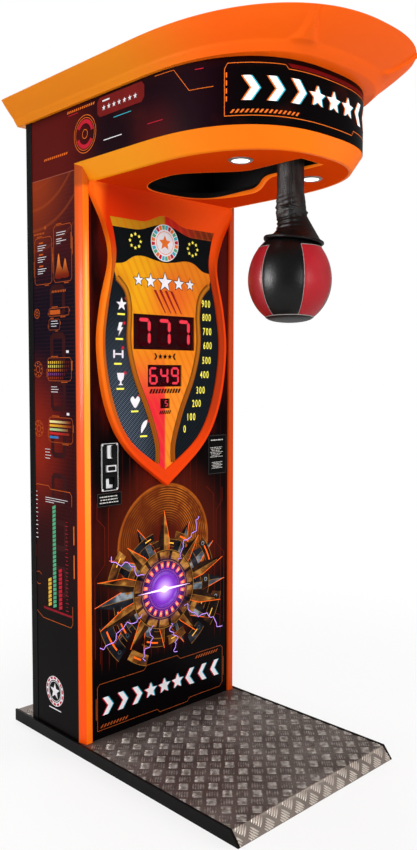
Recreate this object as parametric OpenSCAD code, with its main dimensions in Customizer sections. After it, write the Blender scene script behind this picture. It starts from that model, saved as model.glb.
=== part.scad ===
/* [Base] */
// Depth of the base platform
base_d = 1080; // [1040:10:1300]
// Height of the tread above the floor
base_h = 35; // [28:1:60]
// Thickness of the tread plate
tread_t = 3; // [2:0.5:5]
// Run of the sloped front lip
lip_run = 30; // [15:1:60]
// Width of each side rail
rail_w = 8; // [4:1:10]
// Height of the side rails above the tread
rail_up = 3; // [1:0.5:8]
// Gap between a side rail and the trim at the cabinet's corner
base_gap = 0.5; // [0.3:0.1:6]

/* [Cabinet] */
// Width of the cabinet over its sides
cab_w = 680; // [620:5:760]
// Depth of the cabinet from its rear to the corner pillars
cab_d = 296; // [260:2:340]
// Distance from the rear of the base to the rear of the cabinet
cab_rear_gap = 102; // [60:2:140]
// Thickness of the side boards
side_t = 18; // [15:1:20]
// Thickness of the front board
front_t = 16; // [12:1:18]
// Thickness of the rear board and its door
rear_t = 16; // [12:1:18]
// Thickness of the cabinet floor
floor_t = 18; // [12:1:22]
// Depth that the front board lies behind the pillar fronts
front_set = 8; // [6:1:12]
// Height of the seam between side board and head board
seam_z = 1830; // [1800:5:1840]
// Width of a corner pillar
pillar_w = 33; // [30:1:36]
// Width of the pillar's slanted outer facet, seen from the front
pillar_cut_w = 9; // [5:1:14]
// Depth of the pillar's slanted outer facet
pillar_cut_d = 32; // [26:1:38]
// Leg of the rear corner trims
trim_leg = 32; // [20:1:45]
// Thickness of the rear corner trims
trim_t = 1.5; // [1:0.5:3]

/* [Rear door] */
// Distance of the service door's edges from the side boards
door_side = 72; // [68:2:110]
// Height of the service door
door_h = 1200; // [900:10:1300]
// Height of the door's lower edge
door_z = 80; // [70:5:160]
// Gap round the door
door_gap = 2; // [1:0.5:4]
// Radius of the hinge knuckles
knuckle_r = 5; // [4:0.5:7]
// Radius of the hinge pins
hinge_pin_r = 2.5; // [2:0.25:3]
// Length of one knuckle
knuckle_l = 20; // [14:1:30]
// Gap between two knuckles
knuckle_gap = 0.5; // [0.3:0.1:1]
// Distance of the knuckles from the rear board
hinge_stand = 1; // [0.5:0.25:3]
// Width of a hinge leaf
leaf_w = 30; // [22:1:34]
// Thickness of a hinge leaf
leaf_t = 2; // [1.5:0.25:3]
// Length of the cam's blade beyond the lock barrel
cam_reach = 46; // [42:1:60]
// Thickness of the cam's blade
cam_t = 3; // [2:0.5:4]
// Distance of the lock from the door's edge
lock_side = 35; // [28:1:60]
// Radius of the lock barrel
lock_r = 10; // [8:0.5:12]
// Width of the lock's rim
lock_rim = 4; // [2:0.5:6]
// Thickness of the lock's rim
lock_rim_t = 3; // [2.5:0.5:5]
// Width of the key slot
key_w = 2; // [1.5:0.25:3]
// Length of the key slot
key_l = 10; // [7:0.5:12]

/* [Vents] */
// Number of vent slots above the middle one, and below it
vent_n = 3; // [1:1:4]
// Height of a vent slot
vent_h = 5; // [3:0.5:8]

/* [Head] */
// Height of the head's flat underside
soffit_z = 1797; // [1790:1:1830]
// Height of the slanted rim below the head panels
rim_h = 53; // [45:1:70]
// Inward slope of the rim at the sides
rim_in = 38; // [25:1:45]
// Inward slope of the rim at the nose
rim_nose_in = 18; // [10:1:30]
// Wall of the rim
rim_t = 8; // [5:0.5:12]
// Height of the head panels
panel_h = 170; // [150:5:220]
// Depth of the curved nose of the head
nose_d = 412; // [380:2:440]
// Position of the start of the curve, ahead of the base centre
nose_y = -137; // [-150:1:-110]
// Fullness of the nose curve
nose_pow = 2.55; // [2.2:0.05:2.9]
// Thickness of the curved front panel
marquee_t = 6; // [4:0.5:10]
// Thickness of the underside sheet
soffit_t = 4; // [3:0.5:6]

/* [Roof] */
// Overhang of the roof's lower edge at the sides
roof_side = 10; // [6:1:16]
// Overhang of the roof's lower edge at the nose
roof_nose = 41; // [30:1:60]
// Overhang of the roof behind the cabinet
roof_rear = 40; // [20:1:60]
// Height of the flared fascia
fascia_h = 76; // [60:1:100]
// Distance that the curve of the roof's edge starts ahead of the panels' curve
roof_ahead = 28; // [10:1:50]
// Outward flare of the fascia at the sides
flare_side = 58; // [40:1:70]
// Outward flare of the fascia at the nose
flare_nose = 130; // [100:2:150]
// Drop of the roof's edge below its crown's foot
edge_drop = 3; // [2:0.5:6]
// Rise of the roof's crown
crown_h = 14; // [8:1:30]
// Wall of the roof shell
roof_t = 4; // [3:0.5:6]

/* [Ball opening] */
// Width of the slot for the arm
slot_w = 80; // [74:1:96]
// Position of the slot's front end
slot_y = -463; // [-475:1:-455]
// Position where the slot starts to widen
flare_y = -300; // [-305:1:-280]
// Position where the mouth is widest
mouth_y = -80; // [-100:1:-60]
// Full width of the mouth
mouth_w = 330; // [316:2:350]
// Position of the mouth's rear end
mouth_rear = 120; // [118:1:124]
// Fullness of the mouth's rear
mouth_pow = 2.8; // [2.4:0.1:3.2]
// Height of the turned-up lip inside the head
lip_h = 16; // [10:1:20]
// Thickness of the lip
lip_t = 4; // [3:0.5:6]

/* [Recess] */
// Width of the ball recess
recess_w = 376; // [366:2:400]
// Width of the arm recess at the front
throat_w = 196; // [190:2:204]
// Height of the recess above the underside
recess_h = 191; // [188:1:194]
// Wall of the recess box
recess_t = 3; // [2:0.5:4]
// Distance of the recess box from the front board
recess_gap = 22; // [20:1:26]
// Side of the square tubes of the head frame
beam = 25; // [20:1:26]
// Distance of the long beams from the cabinet's sides
beam_side = 96; // [92:1:100]
// Gap between the recess box and the head frame
frame_gap = 4; // [2:1:10]

/* [Bag arm] */
// Height of the arm's pivot
pivot_z = 1865; // [1862:1:1868]
// Position of the arm's pivot
pivot_y = -400; // [-404:1:-396]
// Radius of the pivot shaft
shaft_r = 10; // [8:0.5:12]
// Radius of the arm's hub
hub_r = 22; // [18:1:26]
// Length of the arm's hub
hub_l = 90; // [80:2:94]
// Radius of the arm's tube
tube_r = 15; // [12:0.5:17]
// Height of the ball's middle
ball_z = 1478; // [1474:1:1486]
// Radius of the ball
ball_r = 120; // [112:1:122]
// Half height of the ball's round form
ball_rise = 137; // [125:1:140]
// Radius of the ball's flat bottom
ball_flat_r = 67.4; // [60:0.5:72]
// Depth of the domed base cap
cap_d = 14; // [8:1:16]
// Width of the leather sleeve
sleeve_w = 65; // [56:1:70]
// Depth of the leather sleeve
sleeve_d = 43; // [36:1:46]
// Height of the sleeve's upper end
sleeve_top = 1816; // [1806:1:1820]
// Radius of the skirt's rim
skirt_r = 83; // [76:1:86]
// Height of the skirt's top
skirt_top = 1652; // [1640:1:1664]
// Wall of the skirt at its hem
skirt_t = 3; // [2:0.5:4]
// Depth that the arm's tube reaches into the ball, below its middle
tube_in = 20; // [10:1:40]
// Side of the rubber buffer above the raised ball
buffer_w = 80; // [50:2:90]
// Largest swing of the arm, in degrees
swing = 88; // [80:1:88]

/* [Catch] */
// Distance of the pivot brackets from the middle
bracket_x = 70; // [66:1:74]
// Thickness of the pivot brackets
bracket_t = 8; // [6:0.5:9]
// Reach of the pivot brackets behind the pivot
bracket_run = 30; // [26:1:40]
// Thickness of the bracket's flange
flange_t = 6; // [4:0.5:8]
// Radius of the bosses that hang the brackets from the head frame
boss_r = 10; // [8:0.5:12]
// Thickness of the crank on the arm's hub
crank_t = 7; // [5:0.5:9]
// Distance of the striker pin from the pivot
striker_d = 40; // [38:0.5:42]
// Radius of the striker pin
striker_r = 4; // [3:0.25:4.5]
// Height of the pawl's pivot above the arm's pivot
pawl_up = 85; // [82:1:88]
// Thickness of the pawl
pawl_t = 6; // [4:0.5:7]
// Width of the pawl's shank
pawl_w = 12; // [10:0.5:14]
// Reach of the pawl's hook beyond its shank
hook = 3; // [2:0.5:4]
// Radius of the pawl's pivot pin
pawl_pin_r = 4; // [3:0.25:5]
// Height of the tail's slot above the pawl's pivot
tail = 16; // [14:1:18]
// Radius of the pin in the tail's slot
tail_pin_r = 2; // [1.5:0.25:2.5]
// Stroke of the pawl, in degrees
pawl_turn = 12; // [10:1:12]
// Distance of the solenoid behind the pawl
solenoid_gap = 24; // [22:1:28]
// Length of the solenoid
solenoid_l = 52; // [45:1:60]
// Radius of the solenoid's plunger
plunger_r = 4; // [3:0.25:5]
// Radius of the sensor disc on the shaft
disc_r = 30; // [26:1:34]
// Thickness of the sensor disc
disc_t = 2; // [1:0.25:3]
// Distance of the sensor disc from its bracket
disc_side = 5; // [4:0.5:7]
// Width of the swing sensor
sensor_w = 20; // [14:1:24]

/* [Shield] */
// Gap between the bezel's wings and the corner pillars
wing_gap = 4; // [2:0.5:8]
// Height of the straight edge of the wings
wing_drop = 34; // [20:1:50]
// Distance that the waist draws in from the wings, each side
waist_in = 71; // [62:1:80]
// Height of the waist
waist_z = 1572; // [1560:1:1590]
// Distance of the shoulders outside the waist, each side
shoulder_out = 22; // [10:1:36]
// Height of the shoulders above the waist
shoulder_up = 98; // [80:1:110]
// Distance that the belly stays inside the wings, each side
belly_in = 24; // [14:1:34]
// Height of the widest place
belly_z = 1285; // [1260:1:1300]
// Distance that the hips draw in from the belly, each side
hip_in = 31; // [24:1:40]
// Height of the bezel's lower tip
tip_z = 833; // [815:1:850]
// Width of the bezel's band
band_w = 28; // [22:1:34]
// Height of the bezel's crest in front of the front board
crest = 22; // [16:1:26]
// Height of the board's top edge at the sides
top_z = 1703; // [1695:1:1715]
// Extra height of the board's top edge in the middle
top_bump = 29; // [15:1:36]
// Half width of the bump in the middle of the top edge
bump_x = 100; // [60:5:150]
// Height of the stretch in which the band turns into the cove under the head
cove_h = 80; // [60:2:100]
// Thickness of the score board
board_t = 7; // [5:0.5:9]
// Width of the raised dividing ribs
rib_w = 8; // [5:0.5:11]
// Height of the raised dividing ribs
rib_up = 3; // [2:0.5:5]
// Gap between the score display and the middle of a rib
rib_gap = 16; // [12:0.5:20]
// Height of the ribs' upper ends above the middle of the score display
rib_rise = 170; // [150:1:180]

/* [Displays] */
// Width of the score display
score_w = 270; // [240:2:280]
// Height of the score display
score_h = 115; // [95:1:125]
// Height of the middle of the score display
score_z = 1347.5; // [1340:0.5:1356]
// Width of the best-score display
best_w = 150; // [130:2:170]
// Height of the best-score display
best_h = 73; // [60:1:80]
// Height of the middle of the best-score display
best_z = 1203.5; // [1195:0.5:1210]
// Width of the turns display
turns_w = 42; // [38:1:50]
// Height of the turns display
turns_h = 33; // [28:1:38]
// Height of the middle of the turns display
turns_z = 1110.5; // [1102:0.5:1116]
// Thickness of the smoked windows
window_t = 3; // [2:0.5:4]
// Width of the seat of a window on the front board
window_lip = 4; // [3:0.5:6]
// Thickness of the lit bars of the digits
digit_t = 1; // [0.6:0.2:1.6]
// Depth of the digit modules
module_d = 34; // [25:1:45]

/* [Coin unit] */
// Width of the coin plate
coin_w = 69; // [66:1:76]
// Height of the coin plate
coin_h = 154; // [150:1:168]
// Distance of the coin plate's middle from the corner pillar
coin_side = 76.5; // [70:0.5:80]
// Height of the coin plate's lower edge
coin_z = 836; // [834:1:846]
// Thickness of the coin plate
plate_t = 3; // [2:0.5:4]
// Corner radius of the coin plate and its frames
plate_corner = 4; // [2:0.5:6]
// Width of the slot bezel
bezel_w = 22; // [18:1:26]
// Height of the slot bezel
bezel_h = 42; // [36:1:44]
// Thickness of the slot bezel
bezel_t = 4; // [3:0.5:6]
// Width of the slot bezel's lip round its hole
bezel_lip = 2; // [1.5:0.5:3]
// Distance of the middle of the slot from the plate's upper edge
slot_drop = 28; // [24:1:32]
// Width of the coin slot
coin_slot = 3.4; // [2.8:0.1:4]
// Length of the coin slot
coin_len = 30; // [26:1:32]
// Width of the reject button
button_w = 37; // [30:1:42]
// Height of the reject button
button_h = 21; // [16:1:24]
// Travel of the reject button
button_travel = 4; // [2:0.5:5]
// Height of the button's middle above the plate's lower edge
button_up = 73; // [68:1:78]
// Distance that the pressed-in button stands out of the plate
button_out = 4; // [3:0.5:6]
// Width of the raised frame round the button
button_frame = 3; // [2:0.5:4]
// Radius of the stem behind the button
stem_r = 4; // [3:0.5:5]
// Width of the return cup's opening
cup_w = 44; // [38:1:48]
// Height of the return cup's opening
cup_h = 38; // [32:1:40]
// Depth of the return cup
cup_d = 54; // [52:1:58]
// Wall of the return cup
cup_t = 2; // [1.5:0.5:3]
// Height of the cup above the plate's lower edge
cup_up = 4; // [3:0.5:6]
// Thickness of the return flap
flap_t = 1.6; // [1.2:0.1:2.5]
// Radius of the flap's pin
flap_pin_r = 1.5; // [1:0.25:1.75]
// Distance of the flap's pin behind the plate's face
flap_set = 10; // [9:0.5:12]
// Gap between the flap's lower edge and the floor of the cup
flap_gap = 1.5; // [1:0.25:3]
// Wall of the cup left at the ends of the flap's pin
pin_wall = 0.4; // [0.3:0.1:0.8]
// Radius of a screw head
screw_r = 3.2; // [2.5:0.1:4]
// Thickness of a screw head
screw_head = 1.6; // [1.2:0.1:2.4]
// Length that a screw reaches into the front board
screw_l = 11.5; // [6:0.5:12]
// Distance of the screws from the plate's edges
screw_in = 5.5; // [4.5:0.5:8]

/* [Plates] */
// Width of the small plate below the coin plate
card_w = 98; // [80:1:104]
// Height of the small plate
card_h = 44; // [30:1:50]
// Gap between the coin plate and the small plate
card_gap = 5; // [2:0.5:10]
// Width of the tall plate on the right
notice_w = 92; // [80:1:100]
// Height of the tall plate
notice_h = 142; // [120:1:150]
// Gap between the tall plate and the corner pillar
notice_gap = 6; // [3:0.5:12]
// Thickness of both plates
card_t = 1; // [0.6:0.1:2]
// Corner radius of both plates
card_corner = 3; // [1:0.5:5]

/* [Inside] */
// Depth of the coin acceptor
acceptor_d = 80; // [78:1:90]
// Width of the coin chute
chute_w = 32; // [24:1:36]
// Depth of the coin chute
chute_d = 32; // [28:1:36]
// Distance of the cash box from the front board
cash_gap = 20; // [10:1:30]
// Width of the cash box
cash_w = 170; // [140:5:190]
// Depth of the cash box
cash_d = 190; // [160:5:200]
// Height of the cash box
cash_h = 150; // [120:5:180]
// Sheet of the cash box and the chute
sheet_t = 1.5; // [1:0.5:2]
// Width of the power supply
psu_w = 150; // [120:5:170]
// Depth of the power supply
psu_d = 130; // [100:5:160]
// Height of the power supply
psu_h = 60; // [40:1:80]
// Position of the power supply's left side
psu_x = 80; // [40:5:100]
// Distance of the power supply from the front board
psu_gap = 30; // [20:1:50]
// Depth of the control board
pcb_d = 160; // [150:5:180]
// Height of the control board
pcb_h = 200; // [190:5:240]
// Thickness of the control board
pcb_t = 2; // [1.5:0.5:3]
// Height of the control board's lower edge
pcb_z = 900; // [700:10:1000]
// Distance of the control board from the front board
pcb_gap = 40; // [20:1:50]
// Length of the control board's posts
post_l = 6; // [5:1:15]
// Radius of the posts
post_r = 4; // [3:0.5:5]
// Distance of the posts from the board's edges
post_in = 10; // [8:0.5:11]
// Height of the relay block on the board
relay_h = 16; // [10:1:24]
// Width of the relay block
relay_w = 50; // [40:1:60]
// Radius of the speaker
speaker_r = 70; // [50:1:80]
// Depth of the speaker
speaker_d = 64; // [50:1:80]
// Depth of the speaker's cone
cone_d = 14; // [10:1:20]
// Thickness of the speaker's basket
basket_t = 4; // [3:0.5:6]
// Distance of the magnet behind the speaker's face
magnet_y = 40; // [30:1:46]
// Height of the middle of the speaker
speaker_z = 1600; // [1450:10:1700]
// Width of the switch and inlet plate
inlet_w = 30; // [26:1:34]
// Height of the switch and inlet plate
inlet_h = 60; // [58:1:70]
// Thickness of that plate and the width of its rim
inlet_rim = 3; // [2:0.5:4]
// Height of the plate's middle above the door's lower edge
inlet_up = 70; // [60:5:200]
// Width of the switch's rocker
rocker_w = 10.2; // [8:0.2:12]
// Radius of the round rocker of the switch
rocker_r = 9; // [7:0.5:10]

/* [Lamps] */
// Distance of the lamps from the middle
lamp_x = 153; // [146:1:165]
// Position of the lamps
lamp_y = -350; // [-360:1:-340]
// Outer radius of the lamp bezels
lamp_r = 35; // [30:1:38]
// Radius of the lamp glass
glass_r = 25; // [20:1:28]
// Radius of the lamp housings
can_r = 30; // [28:0.5:31]
// Depth of the lamp housings
can_d = 42; // [30:1:60]
// Wall of the lamp housings
can_t = 2; // [1.5:0.5:3]
// Thickness of the lamp bezels
lamp_lip = 3; // [2:0.5:4]
// Thickness of the lamp glasses
glass_t = 4; // [3:0.5:5]

/* [Hidden] */
$fn = 64;

fit = 0.3;          // clearance between a loose piece and its seat
run = 0.1;          // clearance between a pin and its bore
cut = 1;            // how far a cutting shape runs past the face that it opens

// base and cabinet planes
cab_x = cab_w/2;
base_w = cab_w + 2*(trim_t + base_gap + rail_w);
tread_w = base_w - 2*rail_w;
base_front = -base_d/2;
base_rear = base_d/2;
cab_rear = base_rear - cab_rear_gap;
cab_front = cab_rear - cab_d;
panel_y = cab_front + front_set;
panel_back = panel_y + front_t;
side_y = cab_front + pillar_cut_d;
side_in = cab_x - side_t;
pillar_in = cab_x - pillar_w;
rear_in = cab_rear - rear_t;
floor_z = base_h + floor_t;

// head levels
rim_top = soffit_z + rim_h;
head_top = rim_top + panel_h;
roof_z = head_top + fascia_h;
soffit_top = soffit_z + soffit_t;
recess_top = soffit_z + recess_h;
recess_ceiling = recess_top - recess_t;
frame_z = recess_top + frame_gap;
beam_x = cab_x - beam_side;

// hinge line of the rear door, the heights of its hinges, and its lock
door_w = 2*(side_in - door_side);
door_x = door_w/2;
hinge_x = -door_x - door_gap/2;
hinge_y = cab_rear + knuckle_r + hinge_stand;
hinge_zs = [door_z + 0.1*door_h, door_z + 0.5*door_h, door_z + 0.9*door_h];
leaf_in = knuckle_r + 3;
lock_x = door_x - lock_side;
lock_z = door_z + door_h/2;

// bag levels and the places along the arm's pivot
flat_z = ball_z - ball_rise*sqrt(1 - pow(ball_flat_r/ball_r, 2));
bracket_out = bracket_x + bracket_t/2;
bracket_in = bracket_x - bracket_t/2;
crank_x = hub_l/2;

// catch: in its closed pose the pawl's tip lies over the striker of the raised arm
pawl_l = (pawl_up - striker_d*cos(swing) - striker_r - fit)/cos(pawl_turn);
pawl_y = pivot_y - striker_d*sin(swing) - pawl_l*sin(pawl_turn) - 2;
pawl_z = pivot_z + pawl_up;
pawl_x = (crank_x + bracket_in)/2 - pawl_t/2 + 1;
boss_x = bracket_in + boss_r + 1;
solenoid_y = pawl_y + solenoid_gap;

// shield
wing_x = pillar_in - wing_gap;
waist_x = wing_x - waist_in;
belly_x = wing_x - belly_in;
board_y = panel_y - board_t;
digit_y = board_y + window_t;
score_c = [0, score_z];
best_c = [0, best_z];
turns_c = [0, turns_z];
displays = [[score_c, score_w, score_h], [best_c, best_w, best_h], [turns_c, turns_w, turns_h]];

// coin unit
coin_x = coin_side - pillar_in;
coin_top = coin_z + coin_h;
plate_y = panel_y - plate_t;
slot_c = [coin_x, coin_top - slot_drop];
button_c = [coin_x + 2, coin_z + button_up];
cup_x = coin_x - 2;
cup_z = coin_z + cup_up;
cup_c = [cup_x, cup_z + cup_h/2 + cup_t];
cup_side = cup_w/2 + cup_t;
flap_y = plate_y + flap_set;
flap_z = cup_z + cup_t + cup_h - 3;
stem_end = panel_back + 3;
acceptor_z = cup_z + cup_h + 2*cup_t + 10;
chute_y = panel_y + cup_d + cup_t + 4;

// vent slots over the speaker, and the power inlet beside the door
vent_w = 1.2*speaker_r;
vent_pitch = 0.18*speaker_r;
inlet_x = (door_x + door_gap + side_in)/2;
inlet_z = door_z + inlet_up;
rocker_z = inlet_z + inlet_h/2 - rocker_r - 5;

function sgn(v) = v < 0 ? -1 : 1;
// one point of a rounded nose: a half width, b depth, n fullness, t from -90 to 90
function nose_pt(a, b, n, y, t) =
    [a*sgn(sin(t))*pow(abs(sin(t)), 2/n), y - b*pow(abs(cos(t)), 2/n)];
function nose_arc(a, b, n, y, k = 24) = [for (i = [-k:k]) nose_pt(a, b, n, y, 90*i/k)];
// a head outline from the left rear round the nose to the right rear
function head_line(a, b, n, rear, y = nose_y) =
    concat([[-a, rear]], nose_arc(a, b, n, y), [[a, rear]]);
function reversed(l) = [for (i = [len(l) - 1:-1:0]) l[i]];
function mirrored(l) = [for (p = reversed(l)) [-p[0], p[1]]];
// smooth curve through a list of points, k steps in each stretch
function curve_pt(a, b, c, d, t) =
    ((2*b) + (c - a)*t + (2*a - 5*b + 4*c - d)*t*t + (3*b - a - 3*c + d)*t*t*t)/2;
function curve(p, k) = concat([for (i = [0:len(p) - 2]) for (j = [0:k - 1])
    curve_pt(p[max(i - 1, 0)], p[i], p[i + 1], p[min(i + 2, len(p) - 1)], j/k)], [p[len(p) - 1]]);
// points moved sideways by d, to the left of the way they run
function unit(v) = v/max(norm(v), 1e-6);
function shifted(p, d) = [for (i = [0:len(p) - 1])
    let (u = unit(p[min(i + 1, len(p) - 1)] - p[max(i - 1, 0)])) p[i] + d*[-u[1], u[0]]];
function at_z(l, z) = [for (p = l) [p[0], p[1], z]];

// solid skin over closed rings of equal length, with both ends closed
module ring_solid(rings) {
    m = len(rings[0]);
    q = len(rings);
    polyhedron(points = [for (r = rings) each r],
        faces = concat([[for (i = [m - 1:-1:0]) i]],
            [for (j = [0:q - 2]) for (i = [0:m - 1])
                let (k = (i + 1) % m) each [
                    [j*m + i, (j + 1)*m + k, (j + 1)*m + i],
                    [j*m + i, j*m + k, (j + 1)*m + k]]],
            [[for (i = [0:m - 1]) (q - 1)*m + i]]), convexity = 8);
}
// the same with the last ring joined to the first
module ring_loop(rings) {
    m = len(rings[0]);
    q = len(rings);
    polyhedron(points = [for (r = rings) each r],
        faces = [for (j = [0:q - 1]) for (i = [0:m - 1])
            let (k = (i + 1) % m, g = (j + 1) % q) each [
                [j*m + i, g*m + k, g*m + i],
                [j*m + i, j*m + k, g*m + k]]], convexity = 8);
}

// a box from one corner to the other
module block(a, b) {
    translate([min(a[0], b[0]), min(a[1], b[1]), min(a[2], b[2])])
        cube([abs(b[0] - a[0]), abs(b[1] - a[1]), abs(b[2] - a[2])]);
}
// a side profile in Y and Z, extruded along X
module along_x(x0, x1) {
    translate([x0, 0, 0]) rotate([90, 0, 90]) linear_extrude(x1 - x0) children();
}
// a front profile in X and Z, extruded along Y
module along_y(y0, y1) {
    translate([0, y1, 0]) rotate([90, 0, 0]) linear_extrude(y1 - y0) children();
}
module rod_x(x0, x1, r) {
    translate([x0, 0, 0]) rotate([0, 90, 0]) cylinder(r = r, h = x1 - x0);
}
module rod_y(y0, y1, r) {
    translate([0, y0, 0]) rotate([-90, 0, 0]) cylinder(r = r, h = y1 - y0);
}
module rounded(w, h, r) {
    square([w, h - 2*r], center = true);
    square([w - 2*r, h], center = true);
    for (x = [-1, 1], z = [-1, 1]) translate([x*(w/2 - r), z*(h/2 - r)]) circle(r = r);
}
// a rectangular bar or hole w wide and h high about the point c, from y0 to y1
module window(c, w, h, y0, y1) {
    along_y(y0, y1) translate(c) square([w, h], center = true);
}

// Base
// inner corner of the tread plate's bend, where it leaves the sloped lip
bend_y = base_front + lip_run + 0.3*tread_t;

module base_core() {
    color("dimgray") along_x(-tread_w/2, tread_w/2)
        polygon([[base_front + tread_t, 0], [bend_y, base_h - tread_t],
            [base_rear, base_h - tread_t], [base_rear, 0]]);
}
module tread_plate() {
    color("gray") along_x(-tread_w/2, tread_w/2)
        polygon([[base_front, 0], [base_front + lip_run, base_h], [base_rear, base_h],
            [base_rear, base_h - tread_t], [bend_y, base_h - tread_t],
            [base_front + tread_t, 0]]);
}
module base_rails() {
    top = base_h + rail_up;
    color("black") for (x = [-base_w/2, tread_w/2]) along_x(x, x + rail_w)
        polygon([[base_front, 0], [base_front + lip_run, top], [base_rear, top], [base_rear, 0]]);
}

// Cabinet
module side_panel() {
    block([side_in, side_y, base_h], [cab_x, cab_rear, seam_z]);
}
module left_side_panel() {
    color([0.12, 0.05, 0.07]) mirror([1, 0, 0]) side_panel();
}
module right_side_panel() {
    color([0.12, 0.05, 0.07]) side_panel();
}
module cabinet_floor() {
    color("burlywood") block([-side_in, side_y, base_h], [side_in, rear_in, floor_z]);
}
module front_panel() {
    y0 = panel_y - cut;
    y1 = panel_back + cut;
    color([0.09, 0.04, 0.06]) difference() {
        block([-pillar_in, panel_y, base_h], [pillar_in, panel_back, soffit_z]);
        for (d = displays) window(d[0], d[1] - 2*window_lip, d[2] - 2*window_lip, y0, y1);
        window(slot_c, bezel_w - 2*bezel_lip, bezel_h - 2*bezel_lip, y0, y1);
        window(button_c, button_w + 2, button_h + 2, y0, y1);
        window(cup_c, cup_w + 2*cup_t, cup_h + 2*cup_t, y0, y1);
        screw_places() rod_y(y0, panel_y + screw_l + 0.5, screw_r/2 + run);
    }
}
module rear_panel() {
    y0 = rear_in - cut;
    y1 = cab_rear + cut;
    color([0.1, 0.1, 0.1]) difference() {
        block([-side_in, rear_in, base_h], [side_in, cab_rear, head_top]);
        block([-door_x - door_gap, y0, door_z - door_gap],
            [door_x + door_gap, y1, door_z + door_h + door_gap]);
        window([inlet_x, inlet_z], inlet_w - 2*inlet_rim, inlet_h - 2*inlet_rim, y0, y1);
        for (i = [-vent_n:vent_n]) window([0, speaker_z + i*vent_pitch], vent_w, vent_h, y0, y1);
    }
}
module rear_trims() {
    color("black") for (s = [0, 1]) mirror([s, 0, 0]) difference() {
        block([cab_x + trim_t - trim_leg, cab_rear - trim_leg + trim_t, base_h],
            [cab_x + trim_t, cab_rear + trim_t, head_top]);
        block([0, 0, base_h - cut], [cab_x, cab_rear, head_top + cut]);
    }
}
// corner pillar of the right side, cut off at its top by the slope of the rim
module pillar() {
    difference() {
        translate([0, 0, base_h]) linear_extrude(rim_top - base_h)
            polygon([[pillar_in, cab_front], [cab_x - pillar_cut_w, cab_front], [cab_x, side_y],
                [pillar_in, side_y]]);
        along_y(cab_front - cut, side_y + cut)
            polygon([[cab_x - 2*rim_in, soffit_z - rim_h], [cab_x + rim_in, rim_top + rim_h],
                [cab_x - 2*rim_in, rim_top + rim_h]]);
    }
}
module left_pillar() {
    color("darkorange") mirror([1, 0, 0]) pillar();
}
module right_pillar() {
    color("darkorange") pillar();
}

// Rear door
module rear_door() {
    color([0.1, 0.1, 0.1]) difference() {
        block([-door_x, rear_in, door_z], [door_x, cab_rear, door_z + door_h]);
        translate([lock_x, 0, lock_z]) rod_y(rear_in - cut, cab_rear + cut, lock_r);
    }
}
module knuckle(z0) {
    translate([hinge_x, hinge_y, z0]) cylinder(r = knuckle_r, h = knuckle_l - knuckle_gap);
}
module leaf(x0, x1, z0, z1) {
    block([x0, cab_rear, z0], [x1, cab_rear + leaf_t, z1 - knuckle_gap]);
}
// the fixed halves with their pins: two outer knuckles on each
module door_hinges() {
    color("silver") for (z = hinge_zs) {
        z0 = z - 1.5*knuckle_l;
        z1 = z + 1.5*knuckle_l;
        for (zk = [z0, z1 - knuckle_l]) {
            knuckle(zk);
            leaf(hinge_x - leaf_w, hinge_x, zk, zk + knuckle_l);
        }
        translate([hinge_x, hinge_y, z0]) cylinder(r = hinge_pin_r, h = z1 - z0 - knuckle_gap);
        leaf(hinge_x - leaf_w, hinge_x - leaf_in, z0, z1);
    }
}
// the halves on the door: one middle knuckle on each
module hinge_leaves() {
    color("silver") for (z = hinge_zs) {
        z0 = z - knuckle_l/2;
        difference() {
            knuckle(z0);
            translate([hinge_x, hinge_y, z0 - cut]) cylinder(r = hinge_pin_r + run, h = knuckle_l + 2*cut);
        }
        difference() {
            leaf(hinge_x + door_gap, hinge_x + leaf_w, z0, z0 + knuckle_l);
            translate([hinge_x, hinge_y, z0 - cut]) cylinder(r = knuckle_r - 0.5, h = knuckle_l + 2*cut);
        }
        leaf(hinge_x + leaf_in, hinge_x + leaf_w, z0 - knuckle_l, z0 + 2*knuckle_l);
    }
}
module door_lock() {
    face = cab_rear + lock_rim_t;
    color("silver") translate([lock_x, 0, lock_z]) difference() {
        union() {
            rod_y(rear_in + 2, cab_rear, lock_r);
            rod_y(cab_rear, face, lock_r + lock_rim);
        }
        block([-key_w/2, face - 2, -key_l/2], [key_w/2, face + cut, key_l/2]);
    }
}
module lock_cam() {
    color("gray") translate([lock_x, 0, lock_z]) {
        rod_y(rear_in - 0.5, rear_in + 2 - fit, lock_r - 3);
        rod_y(rear_in - 0.5 - cam_t, rear_in - 0.5, lock_r);
        block([-0.8*lock_r, rear_in - 0.5 - cam_t, 0], [0.8*lock_r, rear_in - 0.5, cam_reach]);
    }
}

// Shield
// stations of the bezel's outer edge between its belly and its tip, on the right side
shoulder = [waist_x + shoulder_out, waist_z + shoulder_up];
chest = [waist_x + 0.7*(belly_x - waist_x), (waist_z + belly_z)/2];
hip = [belly_x - hip_in, belly_z - 0.4*(belly_z - tip_z)];
foot = [0.6*belly_x, tip_z + 0.29*(belly_z - tip_z)];
tip = [0, tip_z];
outer_side = curve([[wing_x, soffit_z], [wing_x, soffit_z - wing_drop], shoulder,
    [waist_x, waist_z], chest, [belly_x, belly_z], hip, foot, tip], 6);
// inner edge, a band's width inside; it stops at the board's top edge
inner_x = waist_x - 4;
inner_side = curve([[inner_x, top_z], [waist_x - band_w + 8, waist_z + 80],
    [waist_x - band_w, waist_z], chest - [band_w, 0], [belly_x - band_w, belly_z],
    hip + band_w*[-1.1, 0.3], foot + band_w*[-0.8, 0.8], tip + band_w*[0, 1.9]], 7);
function bump(x) = top_z + (abs(x) < bump_x ? top_bump*(0.5 + 0.5*cos(180*x/bump_x)) : 0);
top_steps = 12;
inner_top = [for (i = [1 - top_steps:top_steps - 1])
    let (x = inner_x*i/top_steps) [x, bump(x)]];
outer_top = [for (i = [1 - top_steps:top_steps - 1]) [wing_x*i/top_steps, soffit_z]];
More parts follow.
